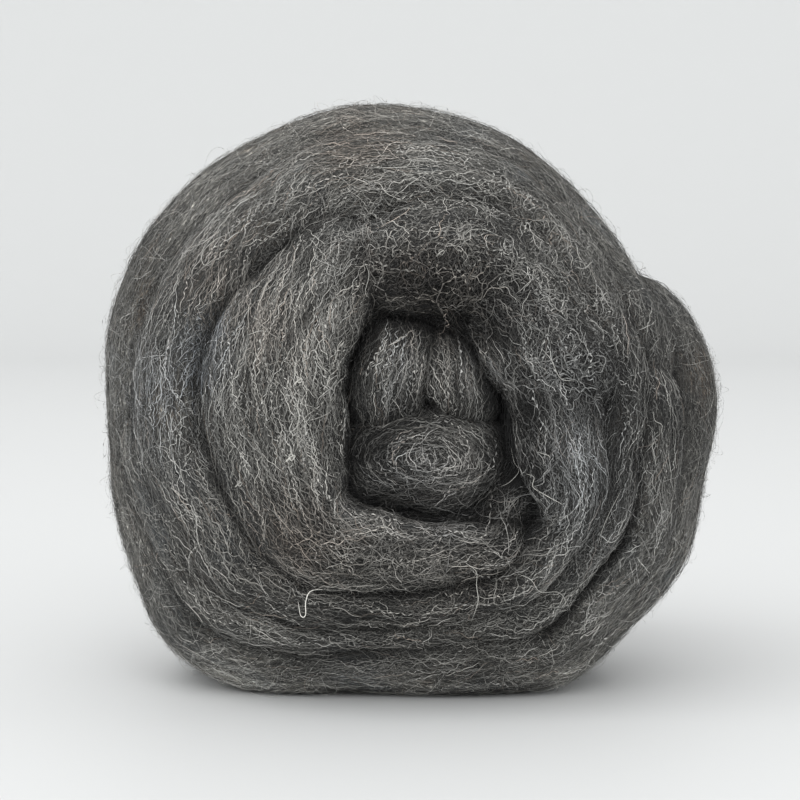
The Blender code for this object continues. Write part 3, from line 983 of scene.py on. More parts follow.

# Where the wool is painted lighter or darker, browner or bluer: the place seen at the eye, its size,
# the change in the tone's logarithm, and how much brown or slate wool there is in it. The brown and
# slate are the wool's own; the changes in tone are mostly painted light and shade, darker in the
# recesses and creases in and round the eye, lighter on the turns at the left, the top and the
# bottom, and partly the wool's own lighter and darker patches.
TINT_AND_SHADE_SPOTS = (
    # right, up, radius, tone with painted light and shade, brown, slate
    (-12.5, 52.5, 7.0, 0.0, 1.0, 0.0),
    (-40.0, 25.5, 6.0, 0.0, 0.7, 0.0),
    (-23.0, -25.0, 8.0, -0.3, 0.8, 0.0),
    (-29.0, 17.0, 7.0, 0.2, 0.5, 0.0),
    (-41.0, 11.0, 5.0, 0.2, 0.0, 1.0),
    (-52.0, 2.0, 10.0, 0.25, 0.0, 0.6),
    (-61.0, -8.0, 12.0, 0.2, 0.0, 0.0),
    (-61.0, 9.0, 8.0, 0.2, 0.0, 0.0),
    (-44.0, 42.0, 8.0, 0.25, 0.0, 0.0),
    (-53.0, -29.0, 10.0, 0.3, 0.0, 0.0),
    (-45.0, 33.0, 13.0, 0.2, 0.0, 0.1),
    (-28.0, 46.0, 12.0, 0.3, 0.0, 0.0),
    (-10.0, 37.0, 5.0, 0.4, 0.0, 0.1),
    (-17.0, 25.0, 4.0, 0.35, 0.0, 0.1),
    (-21.0, -3.0, 9.0, 0.1, 0.0, 0.0),
    (3.0, 20.5, 10.0, -2.1, 0.5, 0.0),
    (-31.0, 28.0, 2.8, -0.7, 0.0, 0.0),
    (-25.5, 31.5, 2.8, -0.7, 0.0, 0.0),
    (-20.0, 34.5, 2.8, -0.6, 0.0, 0.0),
    (-3.0, 0.6, 4.0, -0.5, 0.0, 0.0),
    (4.9, 0.6, 4.0, -0.45, 0.0, 0.0),
    (12.8, -7.3, 3.0, -0.7, 0.0, 0.0),
    (20.7, 0.6, 3.0, -0.7, 0.0, 0.0),
    (12.8, 16.3, 2.5, -0.8, 0.0, 0.0),
    (-10.8, -7.3, 2.5, -0.9, 0.0, 0.0),
    (37.4, 8.7, 4.0, -0.4, 0.0, 0.0),
    (37.4, 0.6, 4.0, -0.4, 0.0, 0.0),
    (-26.6, -30.9, 4.0, 0.45, 0.0, 0.0),
    (-10.8, -30.9, 4.0, -0.3, 0.0, 0.0),
    (28.6, -7.3, 3.5, 0.3, 0.0, 0.0),
    (-8.0, 26.0, 6.0, -0.8, 0.2, 0.0),
    (-3.0, 28.0, 7.0, -0.4, 0.0, 0.0),
    (14.5, 20.0, 7.5, -1.4, 0.0, 0.0),
    (30.0, 32.0, 9.0, 0.45, 0.0, 0.0),
    (15.0, 14.0, 3.0, -1.0, 0.0, 0.0),
    (20.0, 30.0, 14.0, -0.4, 0.0, 0.0),
    (27.0, 8.0, 12.0, -0.35, 0.0, 0.2),
    (36.0, 6.0, 12.0, -0.6, 0.0, 0.1),
    (48.0, -5.0, 8.0, -0.45, 0.0, 0.0),
    (31.0, -15.0, 13.0, -0.3, 0.0, 0.4),
    (32.0, -8.0, 5.0, 0.6, 0.0, 0.2),
    (-10.0, 13.0, 2.8, -0.9, 0.0, 0.0),
    (-10.0, 5.0, 2.8, -0.9, 0.0, 0.0),
    (-10.5, -6.5, 5.0, -2.0, 0.0, 0.0),
    (-18.5, -19.0, 7.0, -0.35, 0.0, 0.0),
    (-4.0, 9.0, 4.0, 0.3, 0.0, 0.4),
    (11.5, 8.5, 3.5, 0.6, 0.0, 0.4),
    (4.0, 12.5, 3.0, 0.8, 0.0, 0.0),
    (-1.5, -2.0, 5.0, -0.9, 0.0, 0.0),
    (2.5, 4.0, 3.0, -0.6, 0.0, 0.0),
    (20.5, -1.0, 5.0, -1.6, 0.1, 0.0),
    (37.0, -15.5, 6.0, -0.4, 0.0, 0.0),
    (22.5, -11.0, 4.0, -1.2, 0.2, 0.0),
    (17.0, -14.0, 4.5, -0.8, 0.0, 0.0),
    (20.0, -23.0, 4.5, -1.6, 0.2, 0.0),
    (13.5, -31.0, 6.5, -1.0, 0.2, 0.0),
    (-3.0, -39.0, 8.0, -0.4, 0.0, 0.0),
    (4.0, -21.5, 4.5, 0.4, 0.0, 0.2),
    (-12.8, -20.0, 3.5, 0.5, 0.0, 0.0),
    (-4.0, -12.0, 6.0, -0.6, 0.0, 0.2),
    (2.0, -14.0, 11.0, -0.45, 0.3, 0.2),
    (0.0, -32.0, 14.0, -0.3, 0.2, 0.0),
    (-12.0, -42.0, 10.0, -0.45, 0.0, 0.0),
    (45.0, -33.0, 14.0, 0.35, 0.0, 0.1),
    (38.0, -42.0, 7.0, 0.3, 0.0, 0.0),
    (0.0, 58.0, 24.0, 0.35, 0.0, 0.0),
    (-37.0, -58.0, 13.0, 0.9, 0.0, 0.0),
    (-5.0, -58.0, 14.0, 0.5, 0.0, 0.0),
    (31.0, -58.0, 8.0, 0.7, 0.0, 0.0),
    (58.0, 0.0, 12.0, -0.15, 0.0, 0.0),
)

# The curled end's fibres lie in ovals: the ovals' middle, and how long and high they are.
SWIRL_TURN = 8             # the curled end's place among the turns
SWIRL_MIDDLE = (1.2, -9.2)
SWIRL_SHAPE = (18.0, 10.0)

# The ball is covered piece by piece, from the eye to the back.
FIBRE_SEED = 100
FIBRE_BANDS = (
    # name, nearest angle from the eye, farthest, number of fibres, points along each
    ("eye_fibres", 0.0, 36.0, 8800, 24),
    ("face_fibres", 36.0, 60.0, 8900, 24),
    ("shoulder_fibres", 60.0, 90.0, 7800, 20),
    ("side_fibres", 90.0, 128.0, 5400, 17),
    ("back_fibres", 128.0, 180.0, 3600, 17),
)


def map_place(unit):
    """The row and column of the skin map under a direction, with their fractions."""
    from_eye = np.degrees(np.arccos(np.clip(-unit[..., 1], -1.0, 1.0)))
    around = np.degrees(np.arctan2(unit[..., 2], unit[..., 0])) % 360.0
    return from_eye / MAP_STEP, around / MAP_STEP


def nearest_cell(unit):
    """The cell of the map that a direction falls in."""
    row, column = map_place(unit)
    return np.minimum(row.astype(int), MAP_ROWS - 1), column.astype(int) % MAP_COLUMNS


def blended(field, rows, columns, v, u):
    """The value between two rows and two columns of a field, by its shares of the way from the
    first row to the second, v, and from the first column to the second, u."""
    low = field[rows[0], columns[0]] * (1.0 - u) + field[rows[0], columns[1]] * u
    high = field[rows[1], columns[0]] * (1.0 - u) + field[rows[1], columns[1]] * u
    return low * (1.0 - v) + high * v


def read_smoothly(field, unit):
    """The value of a map under a direction, blended from the four cells about it."""
    row, column = map_place(unit)
    row = row - 0.5
    column = column - 0.5
    low_row = np.floor(row).astype(int)
    low_column = np.floor(column).astype(int)
    v = (row - low_row)[..., None]
    u = (column - low_column)[..., None]
    rows = [np.clip(low_row + k, 0, MAP_ROWS - 1) for k in (0, 1)]
    columns = [(low_column + k) % MAP_COLUMNS for k in (0, 1)]
    return blended(field.reshape(MAP_ROWS, MAP_COLUMNS, -1), rows, columns, v, u)


def side_axes(unit):
    """Two unit vectors at right angles to a direction and to each other."""
    first = unit_length(np.cross(unit, np.array([0.31, 0.17, 0.93])))
    return first, np.cross(unit, first)


def ring_mean(field, unit, reach):
    """Mean of a map's value at each cell and at eight places in a ring around it."""
    first, second = side_axes(unit)
    total = field.copy()
    for turn in np.linspace(0.0, 2.0 * np.pi, 8, endpoint=False):
        shift = np.cos(turn) * first + np.sin(turn) * second
        total += field[nearest_cell(unit_length(unit + reach / BALL_HALF_DEPTH * shift))]
    return total / 9.0


def bridged(height, unit, reach):
    """A map's height raised in its hollows to the mean around them, then smoothed over half the
    reach."""
    return ring_mean(np.maximum(height, ring_mean(height, unit, reach)), unit, 0.5 * reach)


def skin_map(skins):
    """What a ray towards the ball's middle meets first, for every cell of the map: the height of
    the bare skin over the middle, its outward normal, the roving's way, and how light its streaks
    are. Also the height at which fibres lie, which spans narrow creases, and the mean height
    around the cell for each size of hollow."""
    vertices, faces, _ = join_skins(skins)
    tree = BVHTree.FromPolygons(vertices.tolist(), faces.tolist())
    from_eye = (np.arange(MAP_ROWS) + 0.5) * MAP_STEP
    around = (np.arange(MAP_COLUMNS) + 0.5) * MAP_STEP
    eye_grid, around_grid = np.meshgrid(from_eye, around, indexing="ij")
    unit = direction(around_grid, eye_grid)
    starts = (CENTRE + unit * MAP_REACH).reshape(-1, 3).tolist()
    rays = (-unit).reshape(-1, 3).tolist()
    hits = [tree.ray_cast(start, ray) for start, ray in zip(starts, rays)]
    height = np.array([MAP_REACH - hit[3] for hit in hits]).reshape(MAP_ROWS, MAP_COLUMNS)
    normal = np.array([hit[1] for hit in hits]).reshape(MAP_ROWS, MAP_COLUMNS, 3)
    face = np.array([hit[2] for hit in hits])
    way = np.vstack([skin["way"][:-1].reshape(-1, 3) for skin in skins])[face]
    run = np.concatenate([skin["run"][:-1].ravel() for skin in skins])[face]
    girth = np.concatenate([skin["girth"][:-1, :-1].ravel() for skin in skins])[face]
    seed = np.concatenate([np.full(skin["run"][:-1].size, skin["seed"]) for skin in skins])[face]
    corner = np.vstack([skin["points"][:-1].reshape(-1, 3) for skin in skins])[face]
    in_face = np.array([hit[0] for hit in hits]) - corner
    run = run + (in_face * way).sum(axis=1)
    girth = girth + (in_face * np.cross(normal.reshape(-1, 3), way)).sum(axis=1)
    streak = np.zeros(len(run))
    for k, (length, width, tone) in enumerate(STREAKS):
        streak += tone * soft_noise(run / length, girth / width, 7.0 + 31.0 * k + seed)
    shape = (MAP_ROWS, MAP_COLUMNS)
    points = CENTRE + unit * height[..., None]
    softness = crease_softness(points)
    sharp = bridged(height, unit, BRIDGE_REACH)
    soft = bridged(height, unit, SOFT_BRIDGE * BRIDGE_REACH)
    fibre_height = sharp * (1.0 - softness) + soft * softness
    way = combed(swirled(way.reshape(*shape, 3), seed.reshape(shape), points), points)
    return {
        "tree": tree,
        "unit": unit,
        "bare_height": height,
        "height": np.maximum(fibre_height, height - BRIDGE_SAG),
        "means": [
            ring_mean(ring_mean(height, unit, reach), unit, 0.6 * reach)
            for reach, _, _, _ in HOLLOWS
        ],
        "normal": unit_length(ring_mean(normal, unit, BRIDGE_REACH)),
        "way": way,
        "streak": streak.reshape(shape),
    }


def swirled(way, seed, points):
    """The roving's way, turned on the curled end into the way round its ovals."""
    across = points[..., 0] - CENTRE[0] - SWIRL_MIDDLE[0]
    above = points[..., 2] - CENTRE[2] - SWIRL_MIDDLE[1]
    long, high = SWIRL_SHAPE
    round_oval = np.stack([-above * long ** 2, 0.0 * above, across * high ** 2], axis=-1)
    return np.where((seed == SWIRL_TURN)[..., None], unit_length(round_oval), way)


def combed(way, points):
    """The roving's way, drawn in each combed spot towards the way that its fibres lean."""
    for right, up, radius, lean in COMBED_SPOTS:
        near = spot_weight(points, right, up, radius)[..., None]
        lean = np.radians(lean)
        wanted = np.array([np.sin(lean), 0.0, np.cos(lean)])
        wanted = wanted * np.where((way * wanted).sum(axis=-1, keepdims=True) < 0.0, -1.0, 1.0)
        way = unit_length(way * (1.0 - near) + wanted * near)
    return way


def spot_weight(points, right, up, radius):
    """How far inside a spot on the eye's side of the ball each point is: 1 at its middle, falling
    off as a bell curve."""
    across = points[..., 0] - CENTRE[0] - right
    above = points[..., 2] - CENTRE[2] - up
    near = np.exp(-(across ** 2 + above ** 2) / radius ** 2)
    return near * (points[..., 1] < CENTRE[1] - SPOTS_FROM)


def crease_softness(points):
    """How far the creases near each point are bridged by fibres, from 0 to 1."""
    softness = np.zeros(points.shape[:-1])
    for right, up, radius, share in SOFT_CREASES:
        softness = np.maximum(softness, share * spot_weight(points, right, up, radius))
    return softness


def pick_seeds(skin, random, nearest, farthest, count):
    """Places of count fibres between two angles from the eye, evenly over the skin's area."""
    from_eye = np.degrees(np.arccos(-skin["unit"][..., 1]))
    facing = np.clip((skin["unit"] * skin["normal"]).sum(axis=-1), LEAST_FACING, 1.0)
    area = skin["height"] ** 2 * np.sin(np.radians(from_eye)) / facing
    area = np.where((from_eye >= nearest) & (from_eye < farthest), area, 0.0).ravel()
    cells = random.choice(area.size, size=count, p=area / area.sum())
    unit = skin["unit"].reshape(-1, 3)[cells]
    first, second = side_axes(unit)
    shift = random.uniform(-0.5, 0.5, (count, 2)) * np.radians(MAP_STEP)
    return unit_length(unit + first * shift[:, :1] + second * shift[:, 1:])


def follow_roving(skin, unit, lean, wander, step, samples):
    """Paths over the ball, worked out a step at a time for all fibres at once. Each step heads
    along the roving under it, turned by the fibre's lean, and also keeps some of its last
    heading; wander bends it to the side by a slow wave, so strong wander makes curls. At a cliff
    it rises or falls no more steeply than a hair would. Gives the directions of the points, their
    heights over the ball's middle, and each fibre's greatest distance from the skin."""
    first, second = side_axes(unit)
    way = skin["way"][nearest_cell(unit)]
    heading = unit_length(way - unit * (way * unit).sum(axis=1, keepdims=True))
    flip = np.where(lean["flip"], -1.0, 1.0)[:, None]
    heading = heading * flip
    heading = turned(heading, unit, lean["angle"])
    height = read_smoothly(skin["height"], unit)
    units, heights = [], []
    hang = np.zeros(len(unit))
    for k in range(samples):
        units.append(unit)
        heights.append(height)
        way = skin["way"][nearest_cell(unit)]
        way = unit_length(way - unit * (way * unit).sum(axis=1, keepdims=True))
        way = way * np.where((way * heading).sum(axis=1, keepdims=True) < 0.0, -1.0, 1.0)
        way = turned(way, unit, lean["angle"])
        swing = wander["rate"] * step * np.cos(wander["wave"] * k * step + wander["phase"])
        swing = swing + wander["drift"] * step
        heading = turned(heading, unit, swing)
        heading = unit_length(heading + lean["pull"][:, None] * (way - heading))
        unit = unit_length(unit + heading * step[:, None] / height)
        heading = unit_length(heading - unit * (heading * unit).sum(axis=1, keepdims=True))
        change = read_smoothly(skin["height"], unit) - height
        most = STEEPEST * step[:, None]
        height = height + np.clip(change, -most, most)
        hang = np.maximum(hang, np.abs(change[:, 0]) - most[:, 0])
    return np.stack(units, axis=1), np.stack(heights, axis=1), hang


def turned(vectors, axis, angle):
    """Vectors at right angles to an axis, turned about it by an angle in radians."""
    return vectors * np.cos(angle)[:, None] + np.cross(axis, vectors) * np.sin(angle)[:, None]


def fibre_ribbons(middle, normal, width, random):
    """Vertices of thin ribbons along the fibres' points: each point has one vertex, half a width
    to the left and to the right by turns, at right angles to the fibre's way and turned from the
    skin by a random roll. The width runs out at both ends."""
    roll = np.radians(random.normal(0.0, FIBRE_ROLL, len(middle)))
    way = unit_length(np.gradient(middle, axis=1))
    side = unit_length(np.cross(normal, way))
    up = np.cross(way, side)
    side = side * np.cos(roll)[:, None, None] + up * np.sin(roll)[:, None, None]
    samples = middle.shape[1]
    taper = np.sin(np.pi * (np.arange(samples) + 0.35) / (samples - 0.3)) ** 0.35
    turn = np.where(np.arange(samples) % 2 == 0, 0.5, -0.5)
    return middle + width[:, None, None] * (taper * turn)[None, :, None] * side


def ribbon_triangles(count, samples):
    """Triangles of so many ribbons: one joins every three vertices in a row."""
    here = np.arange(count)[:, None] * samples + np.arange(samples - 2)[None, :]
    odd = np.arange(samples - 2) % 2
    return np.stack([here + odd, here + 1 - odd, here + 2], axis=-1).reshape(-1, 3)


def light_share(skin, points):
    """Share of the light that reaches each point, painted into the colour as shade: it falls with the
    depth of the point, or of the skin under it, below the mean height of the skin around it, for
    hollows of each size. Small hollows count for more or less by a slow noise, and for less where the
    creases are soft."""
    from_middle = points - CENTRE
    height = np.linalg.norm(from_middle, axis=-1)
    unit = from_middle / height[..., None]
    bare = read_smoothly(skin["bare_height"], unit)[..., 0]
    height = np.maximum(np.minimum(height, bare), height - HANGING)
    patch_x = (points[..., 0] + 0.6 * points[..., 1]) / CREASE_PATCH
    patch_z = (points[..., 2] - 0.4 * points[..., 1]) / CREASE_PATCH
    strength = CREASE_STRENGTH + CREASE_SWING * soft_noise(patch_x, patch_z, 91.0)
    strength = np.clip(strength, *CREASE_LIMITS) * (1.0 - crease_softness(points))
    drop = np.zeros(height.shape)
    for mean, (_, most, fall, varies) in zip(skin["means"], HOLLOWS):
        depth = np.maximum(read_smoothly(mean, unit)[..., 0] - height - HOLLOW_FROM, 0.0)
        drop += most * (1.0 - np.exp(-depth / fall)) * (1.0 - varies * (1.0 - strength))
    return np.exp(-drop)


def spot_shade_and_tone(points):
    """Change in the logarithm of the tone at each point, mostly painted light and shade and partly the
    wool's own tone: the sum of the spots about it.
    """
    tone = np.zeros(points.shape[:-1])
    for right, up, radius, change, _, _ in TINT_AND_SHADE_SPOTS:
        tone += change * spot_weight(points, right, up, radius)
    return tone


def fibre_tints(points, random):
    """Colour of each fibre: neutral wool, mixed with brown or slate wool in the tinted spots and,
    here and there, over the whole ball."""
    count = len(points)
    brown = 0.10 * random.random(count) + (random.random(count) < BROWN_FIBRES)
    slate = 0.15 * random.random(count)
    for right, up, radius, _, some_brown, some_slate in TINT_AND_SHADE_SPOTS:
        near = spot_weight(points, right, up, radius)
        brown = brown + some_brown * near
        slate = slate + some_slate * near
    brown = np.clip(brown, 0.0, 1.0)[:, None]
    slate = np.clip(slate, 0.0, 1.0)[:, None]
    tint = np.array(NEUTRAL_WOOL) * np.ones((count, 1))
    tint = tint * (1.0 - brown) + np.array(BROWN_WOOL) * brown
    return tint * (1.0 - slate) + np.array(SLATE_WOOL) * slate


def fibre_material():
    """Single wool fibres: their own colour from the mesh, a soft gloss and a light sheen."""
    material = bpy.data.materials.new("wool_fibre")
    material.use_nodes = True
    nodes = Nodes(material)
    shader = material.node_tree.nodes["Principled BSDF"]
    colour = nodes.add("ShaderNodeVertexColor", layer_name="wool_colour").outputs["Color"]
    material.node_tree.links.new(colour, shader.inputs["Base Color"])
    shader.inputs["Roughness"].default_value = 0.75
    shader.inputs["Specular IOR Level"].default_value = 0.2
    shader.inputs["Sheen Weight"].default_value = 0.1
    shader.inputs["Sheen Roughness"].default_value = 0.4
    return material


def coloured_mesh(name, vertices, faces, triangles, colours):
    """A mesh with a colour for each of its vertices."""
    mesh = new_mesh(name, vertices, faces, triangles)
    layer = mesh.color_attributes.new(name="wool_colour", type="FLOAT_COLOR", domain="POINT")
    shades = np.column_stack([colours, np.ones(len(colours))])
    layer.data.foreach_set("color", shades.astype(np.float32).ravel())
    return mesh


def ribbon_mesh(name, points, colours):
    """A mesh of fibres' ribbons, with a colour for each of their points."""
    no_faces = np.zeros((0, 4), dtype=int)
    triangles = ribbon_triangles(*points.shape[:2])
    return coloured_mesh(name, points.reshape(-1, 3), no_faces, triangles, colours.reshape(-1, 3))


def crimped(random, middle, normal, step, lift, crimp):
    """Fibres' middle lines with their crimp: a sine across them, whose pace and height swing, so
    that no two bends are alike, and a slower one that lifts them off the skin."""
    count, samples = middle.shape[:2]
    wave = 2.0 * np.pi / random.uniform(*CRIMP_WAVE, count)
    phase = random.uniform(0.0, 2.0 * np.pi, count)[:, None]
    place = (wave * step)[:, None] * np.arange(samples) + phase
    place = place + 0.7 * np.sin(0.37 * place + 1.7 * phase)
    swell = 1.0 + 0.5 * np.sin(0.31 * place + 2.9 * phase)
    bob = 0.5 + 0.5 * np.sin(0.57 * place + 2.3 * phase)
    side = unit_length(np.cross(normal, np.gradient(middle, axis=1)))
    middle = middle + side * (crimp[:, None] * swell * np.sin(place))[..., None]
    return above_floor(middle + normal * (lift[:, None] * (0.55 + 0.45 * bob))[..., None])


def calm_share(points):
    """How even in tone the wool is at each point, from 0 near the eye to 1 at the rim."""
    depth = points[..., 1] - CALM_DEPTHS[0]
    return np.clip(depth / (CALM_DEPTHS[1] - CALM_DEPTHS[0]), 0.0, 1.0)


def fibre_colours(random, skin, middle, raised):
    """Colour at each point of the fibres. The tone's logarithm is spread as a bell curve about the
    usual one, and is higher in the wool's own light streaks; painted light makes the raised fibres
    lighter and the low ones darker, the spots add painted light and shade with some of the wool's
    own tone, and painted shade darkens the fibres in the hollows. The painted shade of dark spots
    darkens the raised fibres less."""
    tone = FIBRE_TONE_SPREAD * random.normal(0.0, 1.0, len(middle))
    tone = tone + LIFT_LIGHT_AND_SHADE * (raised - RAISED_MEAN)
    unit = unit_length(middle - CENTRE)
    even = 1.0 - CALM * calm_share(middle[:, 0])
    tone = tone * even
    streak_share = np.maximum(even, STREAKS_LEFT)[:, None]
    streak = read_smoothly(skin["streak"], unit)[..., 0] * streak_share
    spots = spot_shade_and_tone(middle)
    dark_share = DARK_SPOTS[0] - (DARK_SPOTS[0] - DARK_SPOTS[1]) * raised
    spots = np.where(spots < 0.0, spots * dark_share[:, None], spots)
    tone = FIBRE_TONE * np.exp(tone[:, None] + streak + spots)
    tone = np.minimum(tone, FIBRE_TONE_MOST) * light_share(skin, middle)
    return tone[..., None] * fibre_tints(middle[:, 0], random)[:, None, :]


def combed_fibres(name, nearest, farthest, count, samples, seed):
    """One band of the ball's fibres, as a mesh. Their middle lines follow the roving under them,
    more loosely in the curly spots. Those that would hang in the air are left out."""
    random = np.random.default_rng(seed)
    locks = count // LOCK_SIZE
    unit = np.repeat(pick_seeds(skin, random, nearest, farthest, locks), LOCK_SIZE, axis=0)
    count = len(unit)
    lone = random.random(count) < LONE_SHARE
    unit = np.where(lone[:, None], pick_seeds(skin, random, nearest, farthest, count), unit)
    first, second = side_axes(unit)
    shift = random.normal(0.0, LOCK_SPREAD / BALL_HALF_DEPTH, (count, 2))
    unit = unit_length(unit + first * shift[:, :1] + second * shift[:, 1:])

    start = CENTRE + unit * read_smoothly(skin["height"], unit)
    curl = np.zeros(count)
    for right, up, radius, amount in CURLY_SPOTS:
        curl += amount * spot_weight(start, right, up, radius)
    straight = 1.0 + 0.8 * np.clip(curl, -1.0, 0.0)
    curl = np.clip(curl + STRAY_CURL * (random.random(count) < STRAY_SHARE), 0.0, 1.0)
    step = random.uniform(*FIBRE_LENGTH, count) / FIBRE_STEPS
    lean_degrees = random.normal(0.0, 1.0, count) * (FIBRE_LEAN * straight + CURL_LEAN * curl)
    lean = {
        "angle": np.radians(lean_degrees),
        "pull": 0.5 * (1.0 - curl) ** 2 + 0.02,
        "flip": random.random(count) < 0.5,
    }
    bend = random.uniform(*FIBRE_BEND, count) * straight
    wander = {
        "rate": bend + CURL_BEND * curl * random.random(count),
        "wave": 2.0 * np.pi / random.uniform(*FIBRE_WAVE, count),
        "phase": random.uniform(0.0, 2.0 * np.pi, count),
        "drift": random.normal(0.0, CURL_DRIFT, count) * curl,
    }
    units, heights, hang = follow_roving(skin, unit, lean, wander, step, samples)

    raised = random.random(count) ** 2.0
    lift = (FIBRE_LIFT[0] + (FIBRE_LIFT[1] - FIBRE_LIFT[0]) * raised) * (1.0 + 0.8 * curl)
    crimp = random.uniform(*CRIMP_HEIGHT, count) * (1.0 + 0.3 * curl)
    normal = unit_length(read_smoothly(skin["normal"], units))
    middle = crimped(random, CENTRE + units * heights, normal, step, lift, crimp)
    width = random.uniform(*FIBRE_WIDTH, count) + RAISED_WIDTH * raised
    points = fibre_ribbons(middle, normal, width, random)
    colours = fibre_colours(random, skin, middle, raised)
    kept = hang < np.where(random.random(count) < HANGING_SHARE, HANGING_MOST, CLIFF)
    return ribbon_mesh(name, points[kept], colours[kept])


def mark_light_share(piece, skin):
    """Writes at each of a piece's vertices how light its wool is painted: darker with painted shade in
    the hollows, lighter and darker with the painted light and shade of the spots and some of the
    wool's own tone, and lighter and darker in the wool's own streaks."""
    place = np.zeros(3 * len(piece.data.vertices), dtype=np.float32)
    piece.data.vertices.foreach_get("co", place)
    points = place.reshape(-1, 3) / MM
    streak = read_smoothly(skin["streak"], unit_length(points - CENTRE))[:, 0]
    share = light_share(skin, points) * np.exp(streak + GROUND_SPOTS * spot_shade_and_tone(points))
    share = share * (1.0 + CALM_GROUND * calm_share(points))
    layer = piece.data.attributes.new("light_share", "FLOAT", "POINT")
    layer.data.foreach_set("value", share.astype(np.float32))


skin = skin_map(front_skins + back_skins + core_skins)
for piece in (wound_turns, back_winding, wound_middle):
    mark_light_share(piece, skin)
wool_fibre = fibre_material()
for place, band in enumerate(FIBRE_BANDS):
    band_fibres = new_piece(band[0], combed_fibres(*band, FIBRE_SEED + place), wool_fibre)
    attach(band_fibres, "root")


# ------------------------------------------------------------------- Fibres down the eye
# The same fibres on the steep sides of the turns inside the eye, where the map of the ball's skin
# doesn't reach. They follow each turn's own skin.

EYE_TURNS = (0, 4, 5, 6, 7, 8)       # the turns round and in the eye, by their place in the list
EYE_REACH = 40.0           # angle from the eye up to which there are such fibres
STEEP = 0.6                # cosine of the slope from which the skin is steep
FRONT_WAYS = (             # a place is open if one of these ways out of the eye is free
    (0.0, -1.0, 0.0), (0.5, -1.0, 0.0), (-0.5, -1.0, 0.0), (0.0, -1.0, 0.5), (0.0, -1.0, -0.5),
)
CLEAR_OF_SKIN = 0.4        # height over the skin from which these ways start
EYE_SEED = 57
EYE_FIBRES = 2400
EYE_FIBRE_SAMPLES = 20
EYE_FIBRE_LENGTH = (4.0, 9.0)
EYE_FIBRE_LIFT = (0.05, 0.6)
EYE_FIBRE_SWING = 0.5      # swing of a fibre's heading, in radians
EYE_FIBRE_WAVE = (5.0, 14.0)
LEAST_PACE = 0.3           # a turn's grid is taken to be at least this coarse


def turn_normals(points):
    """Outward normals over a turn's grid of points."""
    columns = np.roll(points, -1, axis=1) - np.roll(points, 1, axis=1)
    return unit_length(np.cross(np.gradient(points, axis=0), columns))


def grid_paces(points):
    """Lengths from each point of a turn's grid to the next along the roving and round it."""
    along = np.linalg.norm(np.gradient(points, axis=0), axis=-1)
    around = np.linalg.norm(np.roll(points, -1, axis=1) - points, axis=-1)
    return along, around


def open_steep_area(turn, tree):
    """Area of the skin about each of a turn's points where it is steep, near the eye and open to
    the front, and none elsewhere."""
    points = turn["points"]
    normal = turn_normals(points)
    unit = unit_length(points - CENTRE)
    near = np.degrees(np.arccos(-unit[..., 1])) < EYE_REACH
    rows, columns = np.nonzero(near & ((normal * unit).sum(axis=-1) < STEEP))
    starts = (points + CLEAR_OF_SKIN * normal)[rows, columns].tolist()
    free = [any(tree.ray_cast(start, way)[0] is None for way in FRONT_WAYS) for start in starts]
    along, around = grid_paces(points)
    area = np.zeros(points.shape[:2])
    area[rows, columns] = (along * around)[rows, columns] * np.array(free, dtype=float)
    return area


def read_grid(grid, row, column):
    """A grid's value between its rows and columns. The columns go round."""
    low_row = np.minimum(row.astype(int), grid.shape[0] - 2)
    low_column = np.floor(column).astype(int)
    v = (row - low_row)[:, None]
    u = (column - low_column)[:, None]
    columns = [(low_column + k) % grid.shape[1] for k in (0, 1)]
    return blended(grid, (low_row, low_row + 1), columns, v, u)


def paths_on_turn(turn, area, count, random):
    """Paths of fibres over a turn's own skin, in steps along and across the roving. Gives their
    points, the normals there, and the fibres' steps."""
    grid = turn["points"]
    normals = turn_normals(grid)
    row_pace, column_pace = (pace[..., None] for pace in grid_paces(grid))
    cells = random.choice(area.size, size=count, p=area.ravel() / area.sum())
    row = cells // grid.shape[1] + random.uniform(-0.5, 0.5, count)
    column = cells % grid.shape[1] + random.uniform(-0.5, 0.5, count)
    step = random.uniform(*EYE_FIBRE_LENGTH, count) / (EYE_FIBRE_SAMPLES - 1)
    lean = np.radians(random.normal(0.0, FIBRE_LEAN, count))
    wave = 2.0 * np.pi / random.uniform(*EYE_FIBRE_WAVE, count)
    phase = random.uniform(0.0, 2.0 * np.pi, count)
    places, ups = [], []
    for k in range(EYE_FIBRE_SAMPLES):
        row = np.clip(row, 0.0, grid.shape[0] - 1.0)
        places.append(read_grid(grid, row, column))
        ups.append(read_grid(normals, row, column))
        along = np.maximum(read_grid(row_pace, row, column)[:, 0], LEAST_PACE)
        around = np.maximum(read_grid(column_pace, row, column)[:, 0], LEAST_PACE)
        angle = lean + EYE_FIBRE_SWING * np.sin(wave * k * step + phase)
        row = row + np.cos(angle) * step / along
        column = column + np.sin(angle) * step / around
    return np.stack(places, axis=1), unit_length(np.stack(ups, axis=1)), step


